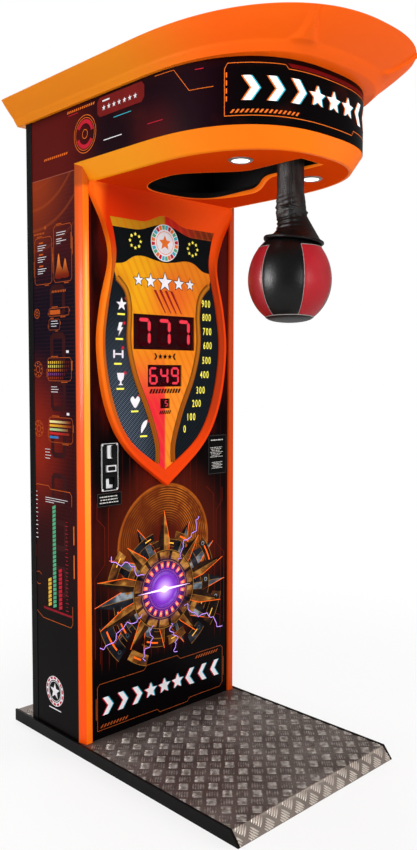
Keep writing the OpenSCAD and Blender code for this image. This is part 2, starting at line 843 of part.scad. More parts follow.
// the right side down to the tip, the left side up, then the top
function all_round(side, top) =
    concat(side, [for (p = reversed(side)) if (p[0] > 0) [-p[0], p[1]]], top);
outer_all = all_round(outer_side, outer_top);
// the inner side is walked in as many steps as the outer one
inner_walk = [for (i = [0:len(outer_side) - 1])
    let (t = i*(len(inner_side) - 1)/(len(outer_side) - 1), k = min(floor(t), len(inner_side) - 2))
    inner_side[k] + (t - k)*(inner_side[k + 1] - inner_side[k])];
inner_all = all_round(inner_walk, inner_top);
// how far a station belongs to the cove under the head, from 0 to 1
function cove(p) = max(0, min(1, (p[1] - top_z)/cove_h + 0.5));
// one ring of the bezel: f is the share across the band and y the depth, fc and yc in the cove
function bezel_ring(f, fc, y, yc) = [for (i = [0:len(outer_all) - 1])
    let (o = outer_all[i], n = inner_all[i], c = cove(o), g = f + c*(fc - f),
        p = o + g*(n - o)) [p[0], y + c*(yc - y), p[1]]];
// profile of the band: shares across it and in the cove, then the rise in crests at both
bezel_profile = [[0, 0, 0, 0], [0, 0, 0.35, 1], [0.2, 0.25, 0.85, 0.62], [0.45, 0.6, 1, 0.42],
    [0.8, 0.92, 0.75, 0.42]];

module shield_bezel() {
    color("darkorange") ring_loop(concat(
        [for (b = bezel_profile) bezel_ring(b[0], b[1], panel_y - b[2]*crest, panel_y - b[3]*crest)],
        [for (y = [board_y - 1, panel_y]) bezel_ring(1, 1, y, y)]));
}
module score_board() {
    color([0.08, 0.08, 0.09]) difference() {
        along_y(board_y, panel_y) polygon(inner_all);
        for (d = displays) window(d[0], d[1], d[2], board_y - cut, panel_y + cut);
    }
}
// centre line of the right dividing rib, from the bezel past the displays down to the tip
foot_h = turns_z - tip_z;
rib_line = curve([[waist_x - band_w + 1, score_z + rib_rise],
    [score_w/2 + 1.8*rib_gap, score_z + 0.75*rib_rise], [score_w/2 + rib_gap, score_z + 0.54*score_h],
    [score_w/2 + 1.2*rib_gap, score_z - 0.35*score_h], [best_w/2 + 3.25*rib_gap, best_z - 0.05*best_h],
    [turns_w/2 + 3.25*rib_gap, turns_z - 0.1*foot_h], [turns_w/2 + rib_gap, turns_z - 0.49*foot_h],
    [turns_w/2 + 0.95*rib_gap, turns_z - 0.72*foot_h]], 5);
module board_ribs() {
    color("orange") for (s = [0, 1]) mirror([s, 0, 0]) along_y(board_y - rib_up, board_y)
        polygon(concat(shifted(rib_line, rib_w/2), reversed(shifted(rib_line, -rib_w/2))));
}
module display_windows() {
    color([0.05, 0.02, 0.02]) for (d = displays) window(d[0], d[1], d[2], board_y, digit_y);
}
module digit_modules() {
    side = 2*(window_lip + fit);
    color([0.06, 0.06, 0.06]) for (d = displays)
        window(d[0], d[1] - side, d[2] - side, digit_y + digit_t, digit_y + digit_t + module_d);
}
// one bar of a digit, l long and t thick, with pointed ends
module bar(l, t) {
    polygon([[-l/2, 0], [-l/2 + t/2, t/2], [l/2 - t/2, t/2], [l/2, 0], [l/2 - t/2, -t/2],
        [-l/2 + t/2, -t/2]]);
}
// the seven bars of one digit, h high
module digit(h) {
    w = 0.62*h;
    t = 0.13*h;
    gap = 0.04*h;
    for (z = [-1, 0, 1]) translate([0, z*(h - t)/2]) bar(w - t - gap, t);
    for (x = [-1, 1], z = [-1, 1]) translate([x*(w - t)/2, z*(h - t)/4]) rotate(90)
        bar((h - t)/2 - gap, t);
}
module digits(c, n, pitch, h) {
    along_y(digit_y, digit_y + digit_t) translate(c)
        for (i = [0:n - 1]) translate([(i - (n - 1)/2)*pitch, 0]) digit(h);
}
module score_digits() {
    color("red") digits(score_c, 3, 0.325*score_w, 0.79*score_h);
}
module best_digits() {
    color("red") digits(best_c, 3, 0.32*best_w, 0.79*best_h);
}
module turns_digits() {
    color("red") digits(turns_c, 2, 0.42*turns_w, 0.62*turns_h);
}

// Coin unit
module screw_places() {
    for (x = [-1, 1], z = [-1, 1])
        translate([coin_x + x*(coin_w/2 - screw_in), 0, coin_z + coin_h/2 + z*(coin_h/2 - screw_in)])
            children();
}
module coin_plate() {
    color([0.1, 0.1, 0.11]) difference() {
        union() {
            along_y(plate_y, panel_y) translate([coin_x, coin_z + coin_h/2])
                rounded(coin_w, coin_h, plate_corner);
            along_y(plate_y - 2, plate_y) translate(button_c)
                rounded(button_w + 2*button_frame, button_h + 2*button_frame, plate_corner);
        }
        window(slot_c, bezel_w - 2*bezel_lip, bezel_h - 2*bezel_lip, plate_y - cut, panel_y + cut);
        window(button_c, button_w + 2*fit, button_h + 2*fit, plate_y - 2 - cut, panel_y + cut);
        window(cup_c, cup_w, cup_h, plate_y - cut, panel_y + cut);
        screw_places() rod_y(plate_y - cut, panel_y + cut, screw_r/2 + run);
    }
}
module plate_screws() {
    color("silver") screw_places() difference() {
        union() {
            rod_y(plate_y - screw_head, plate_y, screw_r);
            rod_y(plate_y, panel_y + screw_l, screw_r/2);
        }
        block([-0.8*screw_r, plate_y - 2*screw_head, -0.4], [0.8*screw_r, plate_y - screw_head/2, 0.4]);
    }
}
module coin_slot_bezel() {
    color("silver") difference() {
        union() {
            along_y(plate_y - bezel_t, plate_y) translate(slot_c) rounded(bezel_w, bezel_h, plate_corner);
            window(slot_c, bezel_w - 2*bezel_lip, bezel_h - 2*bezel_lip, plate_y, panel_back);
        }
        window(slot_c, coin_slot, coin_len, plate_y - bezel_t - cut, panel_back + cut);
    }
}
module reject_button() {
    back = panel_back - button_travel - 1;
    color("silver") {
        window(button_c, button_w, button_h, plate_y - button_out - button_travel, back);
        translate([button_c[0], 0, button_c[1]]) rod_y(back, stem_end, stem_r);
    }
}
// a tube through the front board, with a riser behind the board up to the acceptor
module return_cup() {
    back = panel_y + cup_d;
    color([0.13, 0.13, 0.14]) difference() {
        union() {
            block([cup_x - cup_side, panel_y, cup_z],
                [cup_x + cup_side, panel_back + cut, cup_z + cup_h + 2*cup_t]);
            block([cup_x - cup_side, panel_back, cup_z], [cup_x + cup_side, back + cup_t, acceptor_z]);
        }
        block([cup_x - cup_w/2, panel_y - cut, cup_z + cup_t],
            [cup_x + cup_w/2, back, cup_z + cup_t + cup_h]);
        block([cup_x - cup_w/2, panel_back + cup_t, cup_z + cup_t],
            [cup_x + cup_w/2, back, acceptor_z + cut]);
        translate([0, flap_y, flap_z])
            rod_x(cup_x - cup_side + pin_wall, cup_x + cup_side - pin_wall, flap_pin_r + run);
    }
}
module return_flap() {
    end = pin_wall + 0.4;
    color([0.2, 0.2, 0.21]) {
        translate([0, flap_y, flap_z]) {
            rod_x(cup_x - cup_side + end, cup_x + cup_side - end, flap_pin_r);
            rod_x(cup_x - cup_w/2 + fit, cup_x + cup_w/2 - fit, flap_pin_r + 1);
        }
        block([cup_x - cup_w/2 + fit, flap_y - flap_t/2, cup_z + cup_t + flap_gap],
            [cup_x + cup_w/2 - fit, flap_y + flap_t/2, flap_z]);
    }
}
// two coin ways lead down from the slot: the front one to the cup, the rear one to the chute
module coin_acceptor() {
    stop_y = stem_end + button_travel + 1;
    color([0.2, 0.2, 0.22]) difference() {
        block([cup_x - cup_side - 4, panel_back, acceptor_z],
            [cup_x + cup_side + 4, panel_back + acceptor_d, coin_top + 4]);
        window(slot_c, coin_slot, coin_len, panel_back - cut, chute_y + chute_d - 2);
        translate([button_c[0], 0, button_c[1]]) rod_y(panel_back - cut, stop_y, stem_r + 0.5);
        for (y = [[stop_y + 1, panel_y + cup_d - 1], [chute_y + 2, chute_y + chute_d - 2]])
            block([coin_x - coin_slot/2, y[0], acceptor_z - cut], [coin_x + coin_slot/2, y[1], slot_c[1]]);
    }
}
module coin_chute() {
    color("gainsboro") difference() {
        block([coin_x - chute_w/2, chute_y, floor_z + cash_h + 10],
            [coin_x + chute_w/2, chute_y + chute_d, acceptor_z]);
        block([coin_x - chute_w/2 + sheet_t, chute_y + sheet_t, base_h],
            [coin_x + chute_w/2 - sheet_t, chute_y + chute_d - sheet_t, acceptor_z + cut]);
    }
}
module cash_box() {
    x = coin_x + 5;
    y = panel_back + cash_gap;
    color("gray") difference() {
        block([x - cash_w/2, y, floor_z], [x + cash_w/2, y + cash_d, floor_z + cash_h]);
        block([x - cash_w/2 + sheet_t, y + sheet_t, floor_z + sheet_t],
            [x + cash_w/2 - sheet_t, y + cash_d - sheet_t, floor_z + cash_h + cut]);
    }
}
module info_plates() {
    color("black") along_y(panel_y - card_t, panel_y) {
        translate([coin_x, coin_z - card_gap - card_h/2]) rounded(card_w, card_h, card_corner);
        translate([pillar_in - notice_gap - notice_w/2, coin_z + coin_h/2 + 8])
            rounded(notice_w, notice_h, card_corner);
    }
}
module speaker() {
    magnet_r = 0.58*speaker_r;
    color([0.12, 0.12, 0.12]) translate([0, rear_in, speaker_z]) rotate([90, 0, 0]) rotate_extrude()
        polygon([[0, cone_d], [0.75*speaker_r, 0], [speaker_r, 0], [speaker_r, basket_t],
            [0.85*speaker_r, basket_t], [0.9*magnet_r, magnet_y], [magnet_r, magnet_y],
            [magnet_r, speaker_d], [0, speaker_d]]);
}

// Head
panel_line = head_line(cab_x, nose_d, nose_pow, side_y);
rim_a = cab_x - rim_in;
rim_b = nose_d - rim_nose_in;
rim_pow = nose_pow - 0.15;
rim_line = head_line(rim_a, rim_b, rim_pow, side_y);

module head_side_panels() {
    color([0.12, 0.05, 0.07]) for (s = [0, 1]) mirror([s, 0, 0]) along_x(side_in, cab_x)
        polygon([[nose_y, rim_top], [side_y, rim_top], [side_y, seam_z], [cab_rear, seam_z],
            [cab_rear, head_top], [nose_y, head_top]]);
}
module marquee() {
    color([0.07, 0.03, 0.05]) translate([0, 0, rim_top]) linear_extrude(panel_h)
        polygon(concat(nose_arc(cab_x, nose_d, nose_pow, nose_y),
            reversed(nose_arc(cab_x - marquee_t, nose_d - marquee_t, nose_pow, nose_y))));
}
// a strip with four corners in each section, closed at both ends
module head_rim() {
    inner_low = head_line(rim_a - rim_t, rim_b - rim_t, rim_pow, side_y);
    inner_high = head_line(cab_x - rim_t, nose_d - rim_t, nose_pow, side_y);
    m = len(panel_line);
    color("darkorange") polyhedron(
        points = [for (i = [0:m - 1]) each concat(at_z([panel_line[i]], rim_top),
            at_z([rim_line[i], inner_low[i]], soffit_z), at_z([inner_high[i]], rim_top))],
        faces = concat([[0, 1, 2, 3]],
            [for (i = [0:m - 2]) for (j = [0:3]) let (k = (j + 1) % 4) each [
                [4*i + j, 4*i + 4 + j, 4*i + 4 + k], [4*i + j, 4*i + 4 + k, 4*i + k]]],
            [[4*m - 1, 4*m - 2, 4*m - 3, 4*m - 4]]), convexity = 6);
}

// half width of the ball opening at y: the slot, the flare and the round rear
function flare_x(t) = slot_w/2 + (mouth_w - slot_w)/2*t*t*(3 - 2*t);
flare_steps = 14;
mouth_steps = 12;
mouth_side = concat([[slot_w/2, slot_y]],
    [for (i = [0:flare_steps]) let (t = i/flare_steps) [flare_x(t), flare_y + (mouth_y - flare_y)*t]],
    [for (i = [1:mouth_steps - 1])
        nose_pt(mouth_w/2, mouth_y - mouth_rear, mouth_pow, mouth_y, 90 - 90*i/mouth_steps)]);
mouth_line = concat(mouth_side, [[0, mouth_rear]], mirrored(mouth_side));
lip_side = concat([[slot_w/2 + lip_t, slot_y - lip_t]], shifted(mouth_side, -lip_t));
lip_line = concat(lip_side, [[0, mouth_rear + lip_t]], mirrored(lip_side));

module head_soffit() {
    color("orangered") difference() {
        translate([0, 0, soffit_z]) {
            linear_extrude(soffit_t) polygon(head_line(rim_a - rim_t, rim_b - rim_t, rim_pow, panel_back));
            linear_extrude(lip_h + soffit_t) polygon(lip_line);
        }
        translate([0, 0, soffit_z - cut]) {
            linear_extrude(lip_h + soffit_t + 2*cut) polygon(mouth_line);
            for (s = [-1, 1]) translate([s*lamp_x, lamp_y, 0])
                cylinder(r = can_r + fit, h = soffit_t + 2*cut);
        }
    }
}
recess_rear = panel_y - recess_gap;
recess_front = slot_y - 20;
function recess_side(d) = [[throat_w/2 - d, recess_front + d], [throat_w/2 - d, flare_y + d],
    [recess_w/2 - d, flare_y + d], [recess_w/2 - d, recess_rear - d]];
function recess_line(d) = concat(mirrored(recess_side(d)), recess_side(d));
module recess_box() {
    color([0.03, 0.03, 0.03]) difference() {
        translate([0, 0, soffit_top]) linear_extrude(recess_top - soffit_top) polygon(recess_line(0));
        translate([0, 0, soffit_top - cut]) linear_extrude(recess_ceiling - soffit_top + cut)
            polygon(recess_line(recess_t));
        for (s = [-1, 1]) translate([s*boss_x, pivot_y, soffit_top])
            cylinder(r = boss_r + fit, h = recess_h + cut);
    }
}
module head_frame() {
    z1 = frame_z + beam;
    color("gray") {
        for (s = [-1, 1])
            block([s*beam_x - beam/2, pivot_y - beam/2, frame_z], [s*beam_x + beam/2, rear_in, z1]);
        block([-beam_x, pivot_y - beam/2, frame_z], [beam_x, pivot_y + beam/2, z1]);
        for (y = [nose_y + 1.5*beam, rear_in - beam/2])
            block([-side_in, y - beam/2, frame_z], [side_in, y + beam/2, z1]);
    }
}

// Roof
roof_lean_y = nose_y - roof_ahead;
roof_top_a = cab_x + roof_side + flare_side;
roof_top_b = roof_lean_y - nose_y + nose_d + roof_nose + flare_nose;
roof_end = cab_rear + roof_rear;
function roof_low(d) = head_line(cab_x + roof_side - d, nose_d + roof_nose - d, nose_pow, roof_end - d);
function roof_edge(d) =
    head_line(roof_top_a - d, roof_top_b - d, nose_pow - 0.13, roof_end - d, roof_lean_y);
function between(p, q, f) = [for (i = [0:len(p) - 1]) p[i] + f*(q[i] - p[i])];
function shrunk(p, f) = [for (v = p) [v[0]*f, roof_lean_y + (v[1] - roof_lean_y)*f]];
// an outline on the fascia: f runs from the top edge to the lower edge, d is the inset
function fascia(f, d) = between(roof_edge(d), roof_low(d), f);
// crown: share of the outline and of the rise; fascia: share down the slope and of the height
roof_crown = [[0.55, 1], [0.9, 0.6], [0.985, 0.12]];
roof_face = [[0.42, 0.5], [0.82, 0.24], [0.88, 0.2], [1, 0]];
roof_inner_face = [[1, 0], [0.88, 0.2], [0.42, 0.5]];
module roof_shell() {
    low_in = head_line(side_in, nose_d - side_t, nose_pow, rear_in);
    t = roof_t;
    edge_in = t + 2;
    color("darkorange") ring_solid(concat(
        [for (c = roof_crown) at_z(shrunk(roof_edge(0), c[0]), roof_z + c[1]*crown_h)],
        [at_z(roof_edge(0), roof_z - edge_drop)],
        [for (f = roof_face) at_z(fascia(f[0], 0), head_top + f[1]*fascia_h)],
        [at_z(low_in, head_top), at_z(low_in, head_top + t)],
        [for (f = roof_inner_face) at_z(fascia(f[0], t), head_top + f[1]*fascia_h + t)],
        [at_z(roof_edge(edge_in), roof_z - edge_drop)],
        [for (c = reversed(roof_crown)) at_z(shrunk(roof_edge(edge_in), c[0]), roof_z + c[1]*crown_h - t)]));
}

// Lamps
module lamp_bezels() {
    color("gray") for (s = [-1, 1]) translate([s*lamp_x, lamp_y, soffit_z]) rotate_extrude()
        polygon([[glass_r, -lamp_lip], [lamp_r - lamp_lip, -lamp_lip], [lamp_r, -0.5], [lamp_r, 0],
            [can_r, 0], [can_r, can_d], [can_r - can_t, can_d], [can_r - can_t, lamp_lip],
            [glass_r, lamp_lip]]);
}
module lamp_glasses() {
    color("white") for (s = [-1, 1]) translate([s*lamp_x, lamp_y, soffit_z - glass_t/2])
        cylinder(r = glass_r, h = glass_t);
}

// Pivot and catch
module pivot_brackets() {
    front = pawl_y - 12;
    rear = pivot_y + bracket_run;
    color("silver") {
        for (s = [-1, 1]) difference() {
            union() {
                block([s*bracket_in, front, pivot_z - hub_r], [s*bracket_out, rear, recess_ceiling]);
                block([s*bracket_in, pivot_y - bracket_run + 2, recess_ceiling - flange_t],
                    [s*(boss_x + boss_r + 4), rear, recess_ceiling]);
                translate([s*boss_x, pivot_y, recess_ceiling - cut])
                    cylinder(r = boss_r, h = frame_z - recess_ceiling + cut);
            }
            translate([0, pivot_y, pivot_z]) rod_x(min(s*bracket_in, s*bracket_out) - cut,
                max(s*bracket_in, s*bracket_out) + cut, shaft_r + run);
        }
        translate([0, pawl_y, pawl_z]) rod_x(pawl_x - 2, bracket_in + cut, pawl_pin_r);
    }
}
module catch_pawl() {
    w = pawl_w/2;
    eye_r = w + 2;
    color("gray") translate([0, pawl_y, pawl_z]) along_x(pawl_x, pawl_x + pawl_t) difference() {
        union() {
            circle(r = eye_r);
            polygon([[-w, 0], [-w, 4 - pawl_l], [-2, -pawl_l], [w, -pawl_l], [w + hook, hook - pawl_l],
                [w + hook, eye_r - pawl_l], [w - 2, 2*w - pawl_l], [w - 2, 0]]);
            translate([-w, 0]) square([pawl_w, tail + 7]);
        }
        circle(r = pawl_pin_r + run);
        translate([-tail_pin_r - fit, tail - 3]) square([2*(tail_pin_r + fit), 6.5]);
    }
}
module solenoid() {
    axis_x = pawl_x + pawl_t/2;
    color("dimgray") difference() {
        block([axis_x - 11, solenoid_y, pawl_z + tail - 10],
            [axis_x + 9, solenoid_y + solenoid_l, recess_ceiling]);
        translate([axis_x, 0, pawl_z + tail]) rod_y(solenoid_y - cut, solenoid_y + 40, plunger_r + run);
    }
}
// the fork takes the pawl's tail between its cheeks, with a pin through the tail's slot
module solenoid_plunger() {
    cheek = pawl_t/2 + 0.5;
    out = pawl_t/2 + 3;
    yoke = 14;
    color("silver") translate([pawl_x + pawl_t/2, pawl_y, pawl_z + tail]) {
        rod_x(-out, out, tail_pin_r);
        for (s = [-1, 1]) block([s*cheek, -plunger_r, -plunger_r], [s*out, yoke, plunger_r]);
        block([-out, yoke - 4, -plunger_r], [out, yoke, plunger_r]);
        rod_y(yoke, solenoid_gap + 30, plunger_r);
    }
}
module swing_sensor() {
    disc_x = disc_side - bracket_in;
    color([0.1, 0.1, 0.1]) difference() {
        block([-bracket_in, pivot_y - sensor_w/2, pivot_z + disc_r - 10],
            [-crank_x - 1, pivot_y + sensor_w/2, pivot_z + disc_r + 12]);
        block([disc_x - 1, pivot_y - sensor_w/2 - cut, pivot_z + disc_r - 10 - cut],
            [disc_x + disc_t + 1, pivot_y + sensor_w/2 + cut, pivot_z + disc_r + 6]);
    }
}
module ball_buffer() {
    reach = pivot_z - ball_z;
    y = pivot_y + reach*sin(swing);
    z = pivot_z - reach*cos(swing) + ball_r + 2*fit;
    color([0.15, 0.15, 0.15])
        block([-buffer_w/2, y - buffer_w/2 - 5, z], [buffer_w/2, y + buffer_w/2 + 5, recess_ceiling]);
}

// Electrics
module power_supply() {
    y = panel_back + psu_gap;
    color("silver") block([psu_x, y, floor_z], [psu_x + psu_w, y + psu_d, floor_z + psu_h]);
}
// a circuit board on four posts, with its relay block and its transformer
module control_board() {
    face = side_in - post_l;
    y0 = panel_back + pcb_gap;
    y1 = y0 + pcb_d;
    z1 = pcb_z + pcb_h;
    color("green") {
        block([face - pcb_t, y0, pcb_z], [face, y1, z1]);
        for (y = [y0 + post_in, y1 - post_in], z = [pcb_z + post_in, z1 - post_in])
            translate([0, y, z]) rod_x(face - cut, side_in, post_r);
        block([face - pcb_t - relay_h, y0 + 2*post_in, pcb_z + 3*post_in],
            [face - 1.5, y0 + 2*post_in + relay_w, pcb_z + 3*post_in + relay_w + post_in]);
        block([face - pcb_t - 0.75*relay_h, y0 + 9*post_in, pcb_z + 11*post_in],
            [face - 1.5, y1 - 3*post_in, pcb_z + 11*post_in + relay_w]);
    }
}
module power_inlet() {
    pocket_w = inlet_w - 2*inlet_rim - 4;
    color([0.08, 0.08, 0.08]) translate([inlet_x, 0, inlet_z]) difference() {
        union() {
            window([0, 0], inlet_w, inlet_h, cab_rear, cab_rear + inlet_rim);
            window([0, 0], inlet_w - 2*inlet_rim, inlet_h - 2*inlet_rim, rear_in - 10, cab_rear);
        }
        window([0, -14], pocket_w, 16, cab_rear - 14, cab_rear + inlet_rim + cut);
        translate([0, cab_rear, rocker_z - inlet_z])
            rod_x(-rocker_w/2 - 0.4, rocker_w/2 + 0.4, rocker_r + 0.4);
    }
}
module power_rocker() {
    r = rocker_r;
    color([0.5, 0.05, 0.05]) translate([inlet_x, cab_rear, rocker_z]) along_x(-rocker_w/2, rocker_w/2)
        intersection() {
            circle(r = r);
            polygon([[-r, -r], [0.61*r, -r], [0.28*r, 0], [0.94*r, r], [-r, r]]);
        }
}

// Bag arm
module pivot_shaft() {
    disc_x = disc_side - bracket_in;
    color("silver") translate([0, pivot_y, pivot_z]) {
        rod_x(-bracket_out - 6, bracket_out + 6, shaft_r);
        rod_x(disc_x, disc_x + disc_t, disc_r);
    }
}
// a welded tube with its hub; the crank on the hub's end carries the striker pin
module arm_tube() {
    color("silver") difference() {
        union() {
            translate([0, pivot_y, pivot_z]) {
                rod_x(-hub_l/2, hub_l/2, hub_r);
                translate([0, 0, striker_d]) rod_x(crank_x - crank_t, pawl_x + pawl_t + 1, striker_r);
            }
            block([crank_x - crank_t, pivot_y - 2*striker_r, pivot_z],
                [crank_x, pivot_y + 2*striker_r, pivot_z + striker_d + striker_r + 3]);
            translate([0, pivot_y, ball_z - tube_in]) cylinder(r = tube_r, h = pivot_z - ball_z + tube_in);
        }
        translate([0, pivot_y, pivot_z]) rod_x(-hub_l, hub_l, shaft_r);
    }
}
tube_bore = tube_r + 2*run;
module bag_sleeve() {
    color([0.16, 0.15, 0.15]) translate([0, pivot_y, skirt_top]) linear_extrude(sleeve_top - skirt_top)
        difference() {
            rounded(sleeve_w, sleeve_d, 6);
            circle(r = tube_bore);
        }
}
function ball_height(r) = ball_z + ball_rise*sqrt(max(0, 1 - pow(r/ball_r, 2)));
module bag_skirt() {
    steps = 10;
    hem_r = skirt_r - skirt_t;
    hem_z = ball_height(hem_r);
    color([0.13, 0.11, 0.11]) translate([0, pivot_y, 0]) rotate_extrude()
        polygon(concat(
            [for (i = [0:steps]) let (r = tube_bore + (hem_r - tube_bore)*i/steps) [r, ball_height(r) + fit]],
            [[skirt_r, hem_z - skirt_t], [skirt_r, hem_z + 2*skirt_t],
                [sleeve_w/2 + 4*skirt_t, skirt_top - 12], [sleeve_w/2 + 8, skirt_top],
                [tube_bore, skirt_top]]));
}
module bag_ball() {
    steps = 24;
    a0 = -acos(ball_flat_r/ball_r);
    a1 = acos(tube_bore/ball_r);
    pocket_z = ball_z - tube_in - 2*run;
    color([0.6, 0.05, 0.08]) translate([0, pivot_y, 0]) rotate_extrude()
        polygon(concat([[0, flat_z]],
            [for (i = [0:steps]) let (a = a0 + (a1 - a0)*i/steps) [ball_r*cos(a), ball_z + ball_rise*sin(a)]],
            [[tube_bore, pocket_z], [0, pocket_z]]));
}
module bag_base() {
    steps = 8;
    edge = 2;
    color([0.12, 0.12, 0.12]) translate([0, pivot_y, 0]) rotate_extrude()
        polygon(concat([[0, flat_z]], [for (i = [0:steps]) let (a = 90*i/steps)
            [ball_flat_r*cos(a), flat_z - edge - (cap_d - edge)*sin(a)]]));
}

base_core();
tread_plate();
base_rails();
left_side_panel();
right_side_panel();
cabinet_floor();
front_panel();
rear_panel();
rear_trims();
left_pillar();
right_pillar();
rear_door();
door_hinges();
hinge_leaves();
door_lock();
lock_cam();
shield_bezel();
score_board();
board_ribs();
display_windows();
digit_modules();
score_digits();
best_digits();
turns_digits();
coin_plate();
coin_slot_bezel();
reject_button();
return_cup();
return_flap();
coin_acceptor();
coin_chute();
cash_box();
info_plates();
plate_screws();
speaker();
head_frame();
head_side_panels();
marquee();
head_rim();
head_soffit();
recess_box();
roof_shell();
lamp_bezels();
lamp_glasses();
pivot_brackets();
catch_pawl();
solenoid();
solenoid_plunger();
swing_sensor();
ball_buffer();
power_supply();
control_board();
power_inlet();
power_rocker();
pivot_shaft();
arm_tube();
bag_sleeve();
bag_skirt();
bag_ball();
bag_base();
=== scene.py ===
# A boxing arcade machine: a leather ball on a swinging arm under a rounded head, a cabinet with a
# shield-shaped score board and a coin unit, and a platform of raised-pattern steel to stand on.
from contextlib import contextmanager
from functools import partial
from math import cos, pi, radians, sin

import bmesh
import bpy
from mathutils import Matrix, Vector


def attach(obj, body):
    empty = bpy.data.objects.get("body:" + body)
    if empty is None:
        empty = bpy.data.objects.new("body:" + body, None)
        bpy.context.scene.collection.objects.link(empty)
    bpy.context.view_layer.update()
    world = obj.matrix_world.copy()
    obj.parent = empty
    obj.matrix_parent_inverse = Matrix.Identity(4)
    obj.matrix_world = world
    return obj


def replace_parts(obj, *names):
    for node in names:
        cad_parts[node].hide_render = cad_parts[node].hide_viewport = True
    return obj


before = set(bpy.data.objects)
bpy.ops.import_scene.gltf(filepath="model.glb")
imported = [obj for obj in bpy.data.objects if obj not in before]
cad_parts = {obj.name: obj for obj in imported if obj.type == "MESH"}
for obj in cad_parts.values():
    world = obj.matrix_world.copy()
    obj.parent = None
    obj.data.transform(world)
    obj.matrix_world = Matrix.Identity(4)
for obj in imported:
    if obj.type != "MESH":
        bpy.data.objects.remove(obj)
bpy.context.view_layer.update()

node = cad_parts
scene = bpy.context.scene

# BASE. A board carries a sheet of five-bar steel that is bent down over its front edge, between two
# black rails. The steel is bare, worn grey-brown, and scuffed where players stand.
base_top, lip_y, lip_angle, lip_run, tread_x = 0.035, -0.51, 49.4, 0.044, 0.3415


def operator(operation, reflected=False):
    """A method that adds this Math node; reflected, its own value comes last."""
    def method(self, *others):
        values = (*others, self) if reflected else (self, *others)
        return self.nodes.add("Math", {"operation": operation}, values)
    return method


class Value:
    """A number that varies over a surface; Python's own signs add the nodes."""
    __add__ = __radd__ = operator("ADD")
    __mul__ = __rmul__ = operator("MULTIPLY")
    __sub__, __rsub__ = operator("SUBTRACT"), operator("SUBTRACT", True)
    __truediv__, __mod__ = operator("DIVIDE"), operator("FLOORED_MODULO")
    __gt__, __lt__, __abs__ = operator("GREATER_THAN"), operator("LESS_THAN"), operator("ABSOLUTE")
    sine, root, larger = operator("SINE"), operator("SQRT"), operator("MAXIMUM")

    def __init__(self, nodes, socket):
        self.nodes, self.socket = nodes, socket

    def rise(self, start, end):
        """From 0 to 1, smoothly, while this goes from start to end."""
        return self.nodes.add("MapRange", {"interpolation_type": "SMOOTHSTEP"},
                              {"Value": self, "From Min": start, "From Max": end})


def tint(colour):
    """A chart colour, three numbers up to 255, as the renderer wants it. Others stay as they are."""
    if isinstance(colour, Value) or len(colour) == 4:
        return colour
    return tuple(c/3294.6 if c <= 10 else ((c/255 + 0.055)/1.055)**2.4 for c in colour) + (1,)


class Nodes:
    """A node tree while it is laid out."""

    def __init__(self, tree):
        self.tree = tree

    def add(self, kind, settings=None, values=(), out=0):
        made = self.tree.nodes.new("ShaderNode" + kind)
        for name, value in (settings or {}).items():
            if name == "stops":
                for stop, (place, colour) in zip(made.color_ramp.elements, value):
                    stop.position, stop.color = place, tint(colour)
                for place, colour in value[2:]:
                    made.color_ramp.elements.new(place).color = tint(colour)
            else:
                setattr(made, name, value)
        for name, value in (values.items() if isinstance(values, dict) else enumerate(values)):
            self.join(made.inputs[name], value)
        return Value(self, made.outputs[out])

    def join(self, socket, value):
        if isinstance(value, Value):
            self.tree.links.new(value.socket, socket)
        else:
            socket.default_value = value


class Finish(Nodes):
    """A material while its nodes are laid out. x, y and z are the place on the machine, in metres."""
    names = {"colour": "Base Color", "metal": "Metallic", "rough": "Roughness", "gloss": "Specular IOR Level",
             "coat": "Coat Weight", "coat_rough": "Coat Roughness", "alpha": "Alpha",
             "light": "Emission Color", "glow": "Emission Strength"}

    def __init__(self, name):
        self.material = bpy.data.materials.new(name)
        self.material.use_nodes = True
        super().__init__(self.material.node_tree)
        self.at = self.add("TexCoord", out="Object")
        parts = self.add("SeparateXYZ", None, [self.at]).socket.node.outputs
        self.x, self.y, self.z = (Value(self, part) for part in parts)

    def noise(self, scale, detail=2, stretch=(1, 1, 1), turn=(0, 0, 0)):
        spot = self.add("Mapping", None, {"Vector": self.at, "Scale": stretch, "Rotation": turn})
        return self.add("TexNoise", None, {"Vector": spot, "Scale": scale, "Detail": detail})

    def pores(self, scale):
        return self.add("TexVoronoi", None, {"Vector": self.at, "Scale": scale})

    def away(self, u, v, u0, v0):
        """Distance from a point of the surface."""
        return ((u - u0)*(u - u0) + (v - v0)*(v - v0)).root()

    def mix(self, share, a, b):
        return self.add("Mix", {"data_type": "RGBA"}, {0: share, 6: tint(a), 7: tint(b)}, 2)

    def coats(self, tone, *layers):
        """A tone with others over it, each given by its share and its colour."""
        for share, colour in layers:
            tone = self.mix(share, tone, colour)
        return tone

    def done(self, relief=None, **sockets):
        """Sets the sockets; relief is what the bump reads, its depth in metres and its strength."""
        surface = self.tree.nodes["Principled BSDF"]
        for name, value in sockets.items():
            self.join(surface.inputs[self.names[name]], tint(value) if name in ("colour", "light") else value)
        if relief:
            self.join(surface.inputs["Normal"], self.add(
                "Bump", None, {"Strength": relief[2], "Distance": relief[1], "Height": relief[0]}))
        return self.material


def mottled(name, grain, one, other, rough=0.4, relief=None, **sockets):
    """A finish of two tones. grain is the noise that mixes them, relief is the bump's scale, detail,
    depth and strength, and rough is a number or a least value with a share, scale and detail of noise."""
    finish = Finish(name)
    tone = finish.mix(finish.noise(*grain), one, other)
    if isinstance(rough, tuple):
        rough = rough[0] + rough[1]*finish.noise(*rough[2:])
    bump = relief and (finish.noise(*relief[:2]), *relief[2:])
    return finish.done(bump, colour=tone, rough=rough, **sockets)


def paint(material, *names):
    for name in names:
        for spot in node[name].material_slots:
            spot.material = material


def clear():
    bpy.ops.object.select_all(action="DESELECT")


